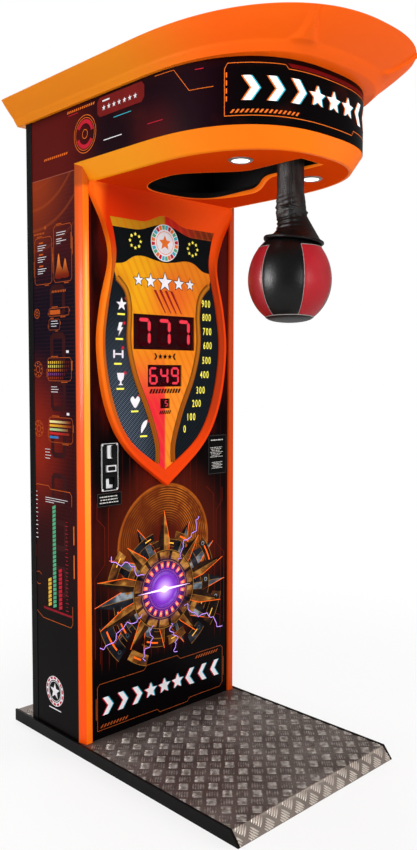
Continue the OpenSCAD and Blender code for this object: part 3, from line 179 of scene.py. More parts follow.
def take(piece, *others):
    """Selects these pieces alone and makes the first the active one."""
    clear()
    for each in (piece, *others):
        each.select_set(True)
    bpy.context.view_layer.objects.active = piece
    return piece


def added(name, data):
    """A new object of this data, selected."""
    piece = bpy.data.objects.new(name, data)
    scene.collection.objects.link(piece)
    return take(piece)


@contextmanager
def editing(piece):
    """Edit mode on this piece, with all of it selected at first."""
    take(piece)
    bpy.ops.object.mode_set(mode="EDIT")
    bpy.ops.mesh.select_all(action="SELECT")
    yield
    bpy.ops.object.mode_set(mode="OBJECT")


def apply(piece, kind, **settings):
    """Adds a modifier with these settings and applies it."""
    take(piece)
    made = piece.modifiers.new(kind.lower(), kind)
    for name, value in settings.items():
        setattr(made, name, value)
    bpy.ops.object.modifier_apply(modifier=made.name)


def repeat(piece, count, step):
    """Turns the piece into a row of itself."""
    apply(piece, "ARRAY", count=count, use_relative_offset=False, use_constant_offset=True,
          constant_offset_displace=step)


def settle(piece, name, material, slot="black_steel", body="cabinet", smooth=40):
    """Gives a finished mesh its name, finish and body, with its place in its mesh."""
    take(piece)
    bpy.ops.object.transform_apply()
    if smooth:
        bpy.ops.object.shade_smooth_by_angle(angle=radians(smooth))
    piece.name = piece.data.name = name
    piece.data.materials.clear()
    piece.data.materials.append(material)
    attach(piece, body)
    return piece


steel = Finish("worn_tread_steel")
patch, speck = steel.noise(7, 4), steel.noise(160, 3)
scuff = steel.noise(26, 4, (1, 0.22, 1), (0, 0, 0.5))*steel.y.rise(-0.16, -0.04)*steel.y.rise(0.12, 0.02)
fold = abs(steel.y - lip_y).rise(0.006, 0.001)*patch.rise(0.35, 0.6)
# The bent-down front strip (y below lip_y) is painted lighter: painted light on the face that turns to the
# front. The patchy bright line along the fold is scuffs with a painted highlight of the bend.
paint(steel.done(
    (steel.noise(420, 2), 0.0006, 0.35), metal=0.82, rough=0.3 + 0.26*patch + 0.16*speck,
    colour=steel.coats((108, 94, 88), (patch.rise(0.35, 0.7), (140, 129, 123)),
                       (speck.rise(0.5, 0.75)*0.35, (44, 36, 32)),
                       ((steel.y < lip_y)*0.36 + fold*0.5, (206, 192, 180)),
                       (scuff.rise(0.3, 0.62)*0.6, (170, 164, 158)))), "tread_plate")
# The bars carry random wear, and on the bent-down front strip they are painted nearly white: painted light.
worn_and_lit_bars = Finish("bright_bar_steel")
rub = worn_and_lit_bars.noise(55, 4)
bar_steel = worn_and_lit_bars.done(
    (worn_and_lit_bars.noise(420, 2), 0.0005, 0.3), metal=0.8, rough=0.38 + 0.2*rub,
    colour=worn_and_lit_bars.coats((120, 109, 102), (rub.rise(0.35, 0.65), (178, 170, 164)),
                      ((worn_and_lit_bars.y < lip_y)*0.7, (250, 238, 226))))

clear()
bpy.ops.mesh.primitive_uv_sphere_add(segments=10, ring_count=4, radius=0.5, location=(0, 0, 0))
bar = bpy.context.active_object
with editing(bar):
    bpy.ops.mesh.bisect(plane_co=(0, 0, 0), plane_no=(0, 0, 1), clear_inner=True)
    bpy.ops.mesh.bisect(plane_co=(0, 0, 0.36), plane_no=(0, 0, 1), clear_outer=True, use_fill=True)
bar.scale = (0.031, 0.0062, 0.0046)
bpy.ops.object.transform_apply()
bar_pitch, cell_x, cell_y = 0.0072, 0.0625, 0.057
repeat(bar, 5, (0, bar_pitch, 0))
# cells whose bars lean to the right, then those that lean to the left, half a cell aside; the rear
# strip behind the cabinet has a row of each
cells = []
for lean, x0, y0, across, down in ((45, -0.315, 0.11, 11, 12), (-45, -0.34625, 0.0815, 12, 12),
                                   (45, -0.315, 0.495, 11, 1), (-45, -0.34625, 0.4665, 12, 1)):
    cell = added("cell", bar.data.copy())
    cell.data.transform(Matrix.Translation((0, -2*bar_pitch, 0)))
    cell.data.transform(Matrix.Rotation(radians(lean), 4, "Z"))
    cell.data.transform(Matrix.Translation((x0, y0, base_top)))
    repeat(cell, across, (cell_x, 0, 0))
    repeat(cell, down, (0, -cell_y, 0))
    cells.append(cell)
bpy.data.objects.remove(bar)
bars = take(*cells)
bpy.ops.object.join()
for edge, way in (((-tread_x, 0, 0), (-1, 0, 0)), ((tread_x, 0, 0), (1, 0, 0)),
                  ((0, lip_y - lip_run, 0), (0, -1, 0))):
    with editing(bars):
        bpy.ops.mesh.bisect(plane_co=edge, plane_no=way, clear_outer=True)
with editing(bars):
    bpy.ops.mesh.select_all(action="DESELECT")
for corner in bars.data.vertices:
    corner.select = corner.co.y < lip_y
bpy.ops.object.mode_set(mode="EDIT")
bpy.ops.transform.rotate(value=-radians(lip_angle), orient_axis="X", center_override=(0, lip_y, base_top))
bpy.ops.object.mode_set(mode="OBJECT")
settle(bars, "tread_bars", bar_steel, "checker_steel", smooth=35)

paint(mottled("black_coated_steel", (9, 3), (7, 7, 7), (14, 13, 12), (0.34, 0.2, 60, 3),
              (900, 1, 0.0003, 0.3), gloss=0.09), "base_rails")
paint(mottled("black_trim", (9, 3), (9, 8, 9), (18, 16, 16), 0.4, (900, 1, 0.0003, 0.3), gloss=0.04),
      "rear_trims")
plies = Finish("plywood")
stripe = (plies.z*340 + 0.3*plies.noise(3)).sine()*0.5 + 0.5
fibre = plies.noise(30, 4, (1, 12, 12))
paint(plies.done((fibre, 0.0006, 0.5), rough=0.62 + 0.2*fibre,
                 colour=plies.mix(stripe*0.45 + fibre*0.3, (184, 146, 98), (120, 84, 50))), "cabinet_floor")
paint(mottled("sealed_base_board", (40, 3, (1, 6, 6)), (30, 26, 23), (52, 45, 38), 0.7,
              (300, 2, 0.0004, 0.4)), "base_core")

# CABINET BOARDS. The side, front and head boards carry prints under a gloss film. The grounds of
# the prints are glows, rings and dark fields in the film, and the lines and shapes lie on them.
panel_y, cab_x, side_y, cab_rear, seam_z, skin = 0.15, 0.34, 0.174, 0.438, 1.83, 0.0005
film = {"rough": 0.3, "gloss": 0.03}
layer = 0.0003


def printed(finish, tone, glow=None, scale=240):
    """A print under the film; with a glow it shines a little, as a light-struck print does: painted light, an
    emission in the print's own tone.
    """
    light = {} if glow is None else {"light": tone, "glow": glow}
    return finish.done((finish.noise(scale, 1), 0.0002, 0.2), colour=tone, **film, **light)


def raw_board(board):
    """The brown of the pressed board, which the film leaves bare inside."""
    return board.mix(board.noise(70, 4), (96, 74, 52), (128, 101, 74))


side = Finish("side_print")
cloud = side.noise(5, 3)
far = side.away(side.y, side.z, 0.40, 2.02)
arcs = (far*95).sine().rise(0.82, 0.98)*far.rise(0.2, 0.24)*far.rise(0.46, 0.36)
strips = (side.z*520).sine().rise(0.2, 1)*0.12*side.z.rise(0.5, 1.0)
paint(printed(side, side.coats(
    (8, 4, 4), (side.z.rise(0.35, 0.8), (52, 8, 12)), (side.z.rise(0.95, 1.2), (16, 7, 24)),
    (side.z.rise(1.45, 1.66), (66, 16, 20)), (side.z.rise(seam_z - 0.001, seam_z + 0.001), (58, 16, 20)),
    (side.away(side.y, side.z, 0.45, 1.86).rise(0.34, 0.02)*(0.75 + 0.4*cloud), (160, 58, 20)),
    (side.away(side.y, side.z*0.8, 0.43, 0.8).rise(0.26, 0.03)*(0.6 + 0.5*cloud), (150, 36, 16)),
    (arcs*0.2, (200, 90, 34)), (abs(side.z - seam_z).rise(0.0022, 0.0008)*0.7, (190, 110, 90)),
    (strips*cloud, (150, 60, 40)), (abs(side.x) < cab_x - skin, raw_board(side)))),
    "left_side_panel", "right_side_panel")

head = Finish("head_print")
# The top of the head boards, just under the roof, is painted darker: painted shade of the roof's overhang.
head_print = printed(head, head.coats(
    (92, 18, 14), (head.y.rise(0.26, 0.0), (26, 5, 14)), (head.y.rise(-0.34, -0.47), (5, 3, 4)),
    (head.away(head.y, head.z, -0.2, 1.85).rise(0.13, 0.01)*0.35, (104, 24, 22)),
    (head.z.rise(1.99, 2.02)*0.5, (40, 8, 8)), (head.noise(6, 3).rise(0.55, 0.8)*0.15, (110, 36, 20))))
paint(head_print, "head_side_panels")

front = Finish("front_print")
grain = front.noise(24, 4)
off = front.away(front.x, front.z, 0.005, 0.635)
disc = off.rise(0.205, 0.198)*off.rise(0.05, 0.15)
grooves = (off*760 + 9*front.noise(5, 2)).sine().rise(-0.1, 0.95)
sheen = 0.25 + 0.75*front.x.rise(-0.14, 0.16)
wires = ((front.x*210 + 2*front.noise(3, 1)).sine().rise(0.86, 1)
         *front.noise(8, 2, (1, 1, 0.1)).rise(0.45, 0.6))
paint(printed(front, front.coats(
    (9, 3, 4), (front.noise(9, 4, (1, 1, 0.25)).rise(0.45, 0.75)*front.z.rise(0.2, 0.5), (84, 14, 8)),
    (wires*0.6, (96, 20, 10)), (off.rise(0.33, 0.2)*0.55, (92, 26, 10)), (disc*0.7, (104, 42, 12)),
    (disc*grooves*grain.rise(0.3, 0.7)*sheen, (212, 122, 34)),
    (abs(off - 0.2).rise(0.006, 0.0015)*(0.2 + 0.4*grain), (216, 112, 30)),
    (front.z.rise(0.28, 0.24), (6, 4, 5)), (front.x.rise(0.2, 0.29)*front.z.rise(1.05, 1.4)*0.8, (84, 12, 8)),
    (front.y > panel_y + skin, raw_board(front)))), "front_panel")
paint(mottled("black_board_paint", (14, 3), (20, 20, 21), (34, 33, 32), (0.45, 0.2, 30, 3),
              (260, 3, 0.0005, 0.4)), "rear_panel", "rear_door")


def facing_front(y):
    """The places (u, v) of a surface that faces the front at this depth."""
    return lambda u, v, lift=0: Vector((u, y - lift, v))


def facing_side(s):
    """The places (u, v) of a side board, -1 for the left one; u runs forward from the middle."""
    return lambda u, v, lift=0: Vector((s*(cab_x + lift), -u, v))


def ink_finish(name, colour, glow=0, other=None, axis="y", start=0, end=1):
    """A printed colour that varies a little, or turns into the other from start to end of an axis; its glow is
    painted light.
    """
    ink = Finish(name)
    if other:
        return printed(ink, ink.mix(getattr(ink, axis).rise(start, end), colour, other), glow)
    dim = tuple(c*0.55 for c in tint(colour)[:3]) + (1,)
    return printed(ink, ink.mix(ink.noise(30, 3).rise(0.3, 0.8)*0.35, colour, dim), glow)


def sheet(name, outlines):
    """A flat mesh that fills closed outlines of (u, v) points; one inside another is a hole."""
    drawn = bpy.data.curves.new(name, "CURVE")
    drawn.dimensions, drawn.fill_mode = "2D", "BOTH"
    for outline in outlines:
        spline = drawn.splines.new("POLY")
        spline.points.add(len(outline) - 1)
        for point, (u, v) in zip(spline.points, outline):
            point.co = (u, v, 0, 1)
        spline.use_cyclic_u = True
    added(name, drawn)
    bpy.ops.object.convert(target="MESH")
    return bpy.context.active_object


def lay(piece, place, lift, cuts=()):
    """Bends a flat mesh on to a surface, this many layers proud of it, facing out."""
    if len(cuts):
        with editing(piece):
            for u in cuts:
                bpy.ops.mesh.select_all(action="SELECT")
                bpy.ops.mesh.bisect(plane_co=(u, 0, 0), plane_no=(1, 0, 0))
    facing = [place(c.co.x, c.co.y, 1) - place(c.co.x, c.co.y, 0) for c in piece.data.vertices]
    for corner in piece.data.vertices:
        corner.co = place(corner.co.x, corner.co.y, lift*layer)
    piece.data.update()
    first = max(piece.data.polygons, key=lambda face: face.area)
    if first.normal.dot(facing[first.vertices[0]]) < 0:
        piece.data.flip_normals()
    return piece


def gather(pieces, name, material, slot, body="cabinet"):
    """Joins like pieces and settles them as one."""
    take(*pieces)
    bpy.ops.object.join()
    return settle(pieces[0], name, material, slot, body, 0)


def ink(name, outlines, material, lift=1, places=(), slot="printed_board", cuts=(), body="cabinet"):
    """Flat filled shapes on one or more surfaces, divided at the u of the cuts to follow a curve."""
    made = [lay(sheet(name, outlines), place, lift, cuts) for place in places]
    return gather(made, name, material, slot, body)


def box(u, v, w, h, cut=0):
    """A rectangle about (u, v), with cut-off corners."""
    a, b = w/2, h/2
    if not cut:
        return [(u - a, v - b), (u + a, v - b), (u + a, v + b), (u - a, v + b)]
    return [(u + s*(a - (cut if e else 0)), v + t*(b - (0 if e else cut)))
            for s, t, order in ((1, -1, (1, 0)), (1, 1, (0, 1)), (-1, 1, (1, 0)), (-1, -1, (0, 1)))
            for e in order]


def frame_of(u, v, w, h, line, cut=0):
    return [box(u, v, w, h, cut), box(u, v, w - 2*line, h - 2*line, max(0, cut - 0.59*line))]


def ring(u, v, r, line=None, k=40, start=0, end=360):
    """A disc, a ring, or a part of a ring with the width line."""
    turn = [radians(start + (end - start)*i/k) for i in range(k + (end - start < 360))]
    outer = [(u + r*cos(a), v + r*sin(a)) for a in turn]
    if line is None:
        return [outer]
    inner = [(u + (r - line)*cos(a), v + (r - line)*sin(a)) for a in turn]
    return [outer, inner] if end - start >= 360 else [outer + inner[::-1]]


def slants(u, v, count, pitch, w, h, lean=0.5):
    """A row of leaning dashes."""
    low, high, top, foot = -lean*h/2, lean*h/2, v + h/2, v - h/2
    return [[(x + low, foot), (x + low + w, foot), (x + high + w, top), (x + high, top)]
            for x in (u + i*pitch for i in range(count))]


def star(u, v, r, inner=0.42, points=5, tilt=90):
    turn = [(radians(tilt + 180*i/points), r*inner if i % 2 else r) for i in range(2*points)]
    return [(u + q*cos(a), v + q*sin(a)) for a, q in turn]


def many(forms):
    """The outlines of several forms in one list."""
    return [line for form in forms for line in form]


def moved(outlines, du, dv=0):
    return [[(u + du, v + dv) for u, v in line] for line in outlines]


def curve(points, steps):
    """A smooth line through the points."""
    line, last = [], len(points) - 1
    for i in range(last):
        a, b, c, d = (Vector(points[k]) for k in (max(i - 1, 0), i, i + 1, min(i + 2, last)))
        for t in (j/steps for j in range(steps)):
            line.append((2*b + (c - a)*t + (2*a - 5*b + 4*c - d)*t*t + (3*b - a - 3*c + d)*t**3)/2)
    return line + [Vector(points[-1])]


def closed(points, steps):
    """A smooth closed outline through the points."""
    n = len(points)
    whole = curve([points[i % n] for i in range(-2, n + 3)], steps)
    return [tuple(p) for p in whole[2*steps:(2 + n)*steps]]


def beside(line, d):
    """The line moved sideways by d."""
    shifted = []
    for i, p in enumerate(line):
        way = (Vector(line[min(i + 1, len(line) - 1)]) - Vector(line[max(i - 1, 0)])).normalized()
        shifted.append((p[0] - d*way.y, p[1] + d*way.x))
    return shifted


def ribbon(line, w):
    return beside(line, w/2) + beside(line, -w/2)[::-1]


def both_sides(line):
    """An outline and its mirror image."""
    return [line, [(-u, v) for u, v in line]]


print_front = partial(ink, places=[facing_front(panel_y)])
# The inks with a glow emit a little light in their own colour: painted light.
orange_ink = ink_finish("orange_ink", (226, 110, 34), 0.15)
gold_ink = ink_finish("gold_ink", (236, 184, 60), 0.1)
white_ink = ink_finish("white_ink", (232, 228, 232), 0.1)
cyan_ink = ink_finish("cyan_ink", (60, 178, 200), 0.1)
crimson_ink = ink_finish("crimson_ink", (190, 30, 50), 0.1)
dark_ink = ink_finish("dark_ink", (10, 7, 10))
green_ink = ink_finish("green_ink", (84, 176, 132), 0.05)

# lower strip of the front: a frame with cut corners, dashes, and chevrons beside stars
strip_z = 0.138
print_front("front_frame", [
    ribbon([(-0.283, 0.062), (-0.283, 0.205), (-0.274, 0.214), (-0.09, 0.214), (-0.076, 0.228), (0.06, 0.228),
            (0.074, 0.214), (0.274, 0.214), (0.283, 0.205), (0.283, 0.075), (0.27, 0.062), (0.12, 0.062),
            (0.108, 0.05), (-0.02, 0.05), (-0.032, 0.062), (-0.283, 0.062)], 0.0016)]
    + [ribbon([(s*0.288, 0.1), (s*0.288, 0.17)], 0.0022) for s in (-1, 1)]
    + slants(-0.268, 0.074, 9, 0.0125, 0.006, 0.01, 0.9) + slants(0.15, 0.2, 9, 0.0125, 0.006, 0.01, 0.9),
    ink_finish("dim_orange_ink", (176, 82, 34)))


def title_forms(u, v, h, count, gap):
    """Bold forms in a row: chevrons that point in, then stars in the middle."""
    row = []
    for i in range(count):
        c = u + (i - (count - 1)/2)*gap
        way = -1 if i > count/2 else 1
        if abs(i - (count - 1)/2) < 1.1:
            row.append(star(c, v - 0.02*h, 0.47*h, 0.46))
        else:
            a, b = 0.3*h*way, h/2
            row.append([(c - a, v - b), (c + 0.1*a, v - b), (c + 1.3*a, v), (c + 0.1*a, v + b),
                        (c - a, v + b), (c + 0.2*a, v)][::way])
    return row


def title(draw, name, forms, shift, label, left_ink, top_ink, lift):
    """Bold forms with a coloured edge on each side, like a print a little out of register."""
    draw(name + "_cyan", moved(forms, shift), cyan_ink, lift)
    draw(name + label, moved(forms, -shift), left_ink, lift + 1)
    draw(name, forms, top_ink, lift + 2)


title(print_front, "front_title", title_forms(0, strip_z, 0.058, 9, 0.061), 0.004, "_red", crimson_ink,
      white_ink, 1)


def spokes(u, v, blades):
    """The light and dark halves of pointed plates round a centre: (angle, length, width) each."""
    light, dark, line = [], [], []
    for turned, length, w in blades:
        a, root, mid = radians(turned), 0.09, 0.62*length

        def spot(r, aside=0):
            return (u + r*cos(a) - aside*sin(a), v + r*sin(a) + aside*cos(a))

        tip = spot(length)
        light.append([spot(root), spot(root, -0.4*w), spot(mid, -w), tip][::-1])
        dark.append([spot(root), tip, spot(mid, w), spot(root, 0.4*w)][::-1])
        line.append(ribbon([spot(root), spot(0.9*length)], 0.0016))
        line.append(ribbon([spot(0.5*mid, -0.7*w), spot(mid, -w), tip], 0.0022))
    return light, dark, line


def film_metal(name, *stops):
    """Metal as a print shows it, in tones that follow noise."""
    metal = Finish(name)
    return printed(metal, metal.add("ValToRGB", {"stops": stops},
                                    [metal.noise(14, 5, (1, 1, 1.7), (0, 0.6, 0))]), 0)


bronze_light = film_metal("bronze_print", (0.34, (40, 20, 12)), (0.5, (120, 70, 28)), (0.62, (196, 136, 62)),
                          (0.75, (110, 60, 30)))
bronze_dark = film_metal("dark_bronze_print", (0.35, (10, 6, 6)), (0.55, (40, 22, 14)), (0.7, (84, 46, 22)))
steel_light = film_metal("steel_print", (0.35, (26, 28, 34)), (0.5, (74, 84, 94)), (0.62, (150, 160, 168)),
                         (0.75, (60, 64, 78)))
steel_dark = film_metal("dark_steel_print", (0.35, (6, 6, 9)), (0.6, (34, 36, 44)), (0.75, (70, 70, 84)))
brass_ink = ink_finish("brass_ink", (158, 108, 44), 0.05)
fire_ink = ink_finish("fire_ink", (255, 100, 22), 0.45)
ember_ink = ink_finish("ember_ink", (255, 190, 70), 0.5)
hub = (0, 0.475)
hub_ring = partial(ring, *hub)
back_blades = [(a, r, 0.03) for a, r in (
    (30, 0.27), (150, 0.27), (-2, 0.292), (182, 0.292), (-34, 0.26), (214, 0.26), (62, 0.25), (118, 0.25),
    (-66, 0.225), (246, 0.225))]
front_blades = [(a, r, 0.024) for a, r in (
    (14, 0.29), (166, 0.29), (-18, 0.285), (198, 0.285), (46, 0.23), (134, 0.23), (-50, 0.23), (230, 0.23),
    (90, 0.27), (270, 0.205))]
for label, blades, light_print, dark_print, lift in (("rear", back_blades, steel_light, steel_dark, 1),
                                                     ("fore", front_blades, bronze_light, bronze_dark, 4)):
    light, dark, line = spokes(*hub, blades)
    print_front("front_%s_light" % label, light, light_print, lift)
    print_front("front_%s_dark" % label, dark, dark_print, lift + 1)
    print_front("front_%s_line_gold" % label, line[0::2], brass_ink, lift + 2)
    print_front("front_%s_line_fire" % label, line[1::2], fire_ink, lift + 2)
print_front("front_wheel", hub_ring(0.135, 0.07, 72), bronze_dark, 7)
print_front("front_wheel_plates", many(hub_ring(0.131, 0.026, 5, 25.7*i + 2, 25.7*i + 22) for i in range(14)),
            bronze_light, 8)
print_front("front_wheel_gold", hub_ring(0.1, 0.0025, 72) + hub_ring(0.136, 0.0022, 72)
            + hub_ring(0.068, 0.002, 60), brass_ink, 9)
print_front("front_wheel_fire", many(hub_ring(0.094, 0.02, 3, 18*i + 3, 18*i + 11) for i in range(20)),
            fire_ink, 9)
print_front("front_wheel_ember", many(hub_ring(0.088, 0.008, 3, 18*i + 4, 18*i + 9) for i in range(20)),
            ember_ink, 10)
print_front("front_hub", hub_ring(0.064, None, 60), steel_dark, 8)
print_front("front_hub_ring", hub_ring(0.06, 0.009, 60), steel_light, 9)
# plates of the disc behind the blades: outer radius, width, and the angles where they start and end
plates = [(0.285, 0.05, 196, 226), (0.28, 0.045, -38, -12), (0.262, 0.036, 232, 252), (0.255, 0.04, 300, 318),
          (0.24, 0.03, 10, 40), (0.25, 0.034, 140, 168), (0.218, 0.03, 186, 222), (0.214, 0.034, -30, 4),
          (0.2, 0.026, 48, 74), (0.204, 0.026, 104, 132), (0.198, 0.03, 240, 268), (0.2, 0.03, 276, 300),
          (0.172, 0.024, 0, 52), (0.172, 0.024, 70, 110), (0.17, 0.024, 128, 176), (0.17, 0.024, 190, 236),
          (0.17, 0.024, 250, 290), (0.172, 0.024, 304, 350)]
for k, (label, metal) in enumerate((("steel", steel_dark), ("bronze", bronze_dark),
                                    ("bright", bronze_light))):
    print_front("front_plates_" + label, many(hub_ring(r, w, 10, a, b) for r, w, a, b in plates[k::3]),
                metal, 3)
print_front("front_plate_edges", many(
    hub_ring(r, 0.0016, 12, a, b) + hub_ring(r - w, 0.0012, 12, a + 2, b - 2) for r, w, a, b in plates),
    brass_ink, 3.6)
print_front("front_plate_heat", many(hub_ring(r - 0.4*w, 0.0055, 8, a + 5, b - 7)
                                     for r, w, a, b in plates[:12:2]), fire_ink, 3.6)
print_front("front_plate_embers", many(hub_ring(r - 0.5*w, 0.0035, 6, a + 4, a + 12)
                                       for r, w, a, b in plates[1::2]), ember_ink, 3.8)
bolt_spots = [(r - w/2, radians(b - 4)) for r, w, a, b in plates[:8]]
print_front("front_bolts_round", many(ring(hub[0] + r*cos(a), hub[1] + r*sin(a), 0.0075, 0.0028, 16)
                                      for r, a in bolt_spots), steel_light, 4)
# The emblem's violet core is printed and also emits light, as the flare ink over it does: painted light.
violet = Finish("violet_glow")
core = violet.away(violet.x, violet.z, *hub)
print_front("front_glow", hub_ring(0.13, None, 60), violet.done(
    colour=(120, 40, 190), light=violet.mix(core.rise(0.05, 0), (150, 60, 220), (255, 230, 255)), glow=0.8,
    alpha=core.rise(0.13, 0)*core.rise(0.16, 0.01)*0.95, rough=0.5, gloss=0.1), 12)
flare = [(-0.12, 0), (-0.02, 0.004), (0, 0.012), (0.02, 0.004), (0.12, 0), (0.02, -0.004), (0, -0.012),
         (-0.02, -0.004)]
print_front("front_flare", moved([flare], *hub), ink_finish("flare_ink", (250, 214, 255), 0.8), 13)


def bolt(u, v, turned, length, seed):
    """A jagged line that leaves a point, with its kinks set by the seed."""
    a, line = radians(turned), []
    for i in range(19):
        r = length*i/18
        kink = (0.011*sin(7.3*(i//2) + seed) + 0.0055*sin(23.7*i + seed))*(i > 0)
        line.append((u + r*cos(a) - kink*sin(a), v + r*sin(a) + kink*cos(a)))
    return line


bolts = [bolt(-0.1, 0.41, 205, 0.19, 1), bolt(0.09, 0.4, -30, 0.22, 2.4), bolt(-0.05, 0.36, 250, 0.12, 4),
         bolt(0.06, 0.57, 52, 0.17, 5), bolt(-0.09, 0.54, 150, 0.16, 0.6), bolt(0.03, 0.35, -75, 0.11, 3.1)]
print_front("front_bolt_halo", [ribbon(line, 0.0042) for line in bolts],
            ink_finish("violet_halo_ink", (88, 40, 150), 0.2), 13)
print_front("front_bolts", [ribbon(line, 0.0016) for line in bolts],
            ink_finish("bolt_ink", (214, 170, 255), 0.7), 14)
print_front("front_circuit", [ribbon(line, 0.002) for s in (-1, 1) for line in (
    [(s*0.29, 0.3), (s*0.29, 0.56), (s*0.25, 0.6), (s*0.25, 0.72), (s*0.28, 0.75), (s*0.28, 0.8)],
    [(s*0.27, 0.28), (s*0.27, 0.33), (s*0.2, 0.36)], [(s*0.235, 0.62), (s*0.235, 0.78), (s*0.2, 0.81)])],
    ink_finish("dim_red_ink", (110, 26, 14)))


# side boards: framed panels with lists, hills, dials, cell rows and level bars, the same on both sides
def corner_frame(u, v, w, h, line=0.0014, cut=0.009):
    """A frame with cut corners, a tab on top and short doubled strokes beside it."""
    return frame_of(u, v, w, h, line, cut) + [
        box(u - 0.2*w, v + h/2 + 0.0035, 0.3*w, 0.0022), box(u + w/2 + 0.004, v + 0.1*h, 0.002, 0.3*h),
        box(u - w/2 - 0.004, v - 0.15*h, 0.002, 0.34*h), box(u + 0.2*w, v - h/2 - 0.0035, 0.25*w, 0.0022)]


def dial(u, v, r):
    """Two rings with ticks between them."""
    return (ring(u, v, r, 0.0016) + ring(u, v, 0.45*r, 0.0022, 24)
            + many(ring(u, v, 0.84*r, 0.16*r, 2, 45*i, 45*i + 16) for i in range(8)))


def rows_from(u, v, widths, pitch, h=0.0019):
    """Rows of print too small to read, that begin below each other."""
    return [box(u + w/2, v - i*pitch, w, h) for i, w in enumerate(widths)]


print_sides = partial(ink, places=[facing_side(-1), facing_side(1)])
print_sides("side_frames", many(corner_frame(*form) for form in (
    (-0.348, 1.572, 0.1, 0.15), (-0.238, 1.586, 0.1, 0.178), (-0.262, 1.405, 0.112, 0.026, 0.0012, 0.004),
    (-0.262, 1.224, 0.135, 0.075), (-0.258, 1.03, 0.135, 0.082),
    (-0.288, 1.366, 0.062, 0.034, 0.0009, 0.004)))
    + [ribbon([(-0.425, 0.83), (-0.4, 0.845), (-0.33, 0.845), (-0.32, 0.835), (-0.21, 0.835), (-0.2, 0.825),
               (-0.2, 0.79)], 0.002)]
    + [ribbon([(-0.425, 0.83), (-0.425, 0.66), (-0.408, 0.64), (-0.408, 0.6), (-0.425, 0.58),
               (-0.425, 0.5), (-0.412, 0.47), (-0.412, 0.42), (-0.37, 0.4), (-0.21, 0.4), (-0.2, 0.412),
               (-0.2, 0.47)], 0.002)]
    + slants(-0.4, 1.66, 7, 0.009, 0.0045, 0.006) + slants(-0.3, 1.47, 9, 0.009, 0.0045, 0.007)
    + dial(-0.388, 1.405, 0.016) + dial(-0.385, 1.224, 0.026) + dial(-0.385, 1.03, 0.027)
    + ring(-0.395, 0.53, 0.022, 0.0018, 30, 40, 300) + [star(-0.335, 1.676, 0.008, 0.4, 4)]
    + [box(-0.36, 1.63 - 0.037*i, 0.024, 0.0045) for i in range(3)] + [box(-0.284, 1.405, 0.058, 0.014)],
    ink_finish("side_line_ink", (204, 92, 30), 0.05))
print_sides("side_list", many(rows_from(-0.38, 1.621 - 0.037*i, (0.05, 0.042, 0.03), 0.007) for i in range(3))
    + rows_from(-0.272, 1.652, (0.052, 0.046), 0.0075)
    + rows_from(-0.272, 1.632, (0.03, 0.054, 0.022), 0.0068)
    + rows_from(-0.306, 1.377, (0.036, 0.04, 0.03), 0.008)
    + rows_from(-0.31, 1.168, (0.034, 0.042, 0.038), 0.0082)
    + rows_from(-0.348, 0.965, (0.03, 0.026, 0.034, 0.028), 0.0098)
    + rows_from(-0.35, 0.806, (0.128, 0.11, 0.05), 0.0072)
    + [box(-0.216, 1.279, 0.014, 0.008), box(-0.216, 1.083, 0.014, 0.008)]
    + [box(-0.402, 0.82 - 0.014*i, 0.006 + 0.004*(i % 3), 0.0024) for i in range(12)], white_ink)
hill_foot, bar_step = 1.512, 0.0125
hill_ink = ink_finish("hill_ink", (120, 30, 12), 0, (246, 132, 48), "z", hill_foot, 1.585)
for k, (u, half, top) in enumerate(((-0.26, 0.02, 1.588), (-0.224, 0.021, 1.57), (-0.246, 0.021, 1.546))):
    mid = hill_foot + 0.5*(top - hill_foot)
    hill = closed([(u - half, hill_foot), (u - 0.5*half, mid), (u, top), (u + 0.5*half, mid),
                   (u + half, hill_foot)], 3)
    print_sides("side_hill_%d" % k, [hill], hill_ink, k + 1)
for j, (label, colour) in enumerate((("yellow", (246, 196, 70)), ("lime", (226, 214, 110)),
                                     ("amber", (214, 120, 40)), ("plum", (120, 60, 130)),
                                     ("rust", (150, 50, 24)))):
    print_sides("side_cells_%d" % j, [box(-0.322 + 0.0112*i, 1.246 - bar_step*j, 0.0062, 0.0082)
                                      for i in range(12 - j)],
                ink_finish("cell_ink_" + label, colour, 0, (86, 24, 18), "y", 0.3, 0.225), 2)
for j, (label, colour, long) in enumerate((("cream", (250, 236, 160), 0.118), ("gold", (240, 176, 50), 0.122),
                                           ("mint", (190, 214, 150), 0.104), ("red", (210, 40, 44), 0.11),
                                           ("blue", (50, 130, 200), 0.05))):
    print_sides("side_stripe_%d" % j, [box(-0.32 + long/2, 1.056 - bar_step*j, long, 0.0075)],
                ink_finish("stripe_ink_" + label, colour, 0, (130, 40, 20), "y", 0.31, 0.2), 2)
# level bars of leaning cells: the middle, the height, the ink and the lean of each
level_foot, cell_step, cell_h = 0.445, 0.0135, 0.0105
for k, (u, tall, colour, lean) in enumerate(((-0.328, 0.1, gold_ink, 2.4), (-0.3, 0.34, green_ink, 2.2),
                                             (-0.267, 0.14, crimson_ink, 2))):
    tilt = 0.003*lean
    cell = [(-0.009, 0), (0.009, tilt), (0.009, cell_h + tilt), (-0.009, cell_h)]
    print_sides("side_level_%d" % k, many(moved([cell], u, level_foot + cell_step*i)
                                          for i in range(int(tall/cell_step))), colour, 2)
print_sides("side_level_ticks", [box(-0.23, 0.45 + bar_step*i, 0.016 - 0.008*(i % 2), 0.0016)
                                 for i in range(24)]
            + [box(-0.225 + 0.0062*i, 0.436, 0.0035, 0.007) for i in range(-22, 4)], crimson_ink)
print_sides("side_gold_bars", [box(*form) for form in (
    (-0.19, 0.7, 0.005, 0.06), (-0.19, 0.6, 0.005, 0.075), (-0.411, 0.71, 0.004, 0.08),
    (-0.19, 1.62, 0.004, 0.05), (-0.192, 1.235, 0.004, 0.03))], orange_ink)
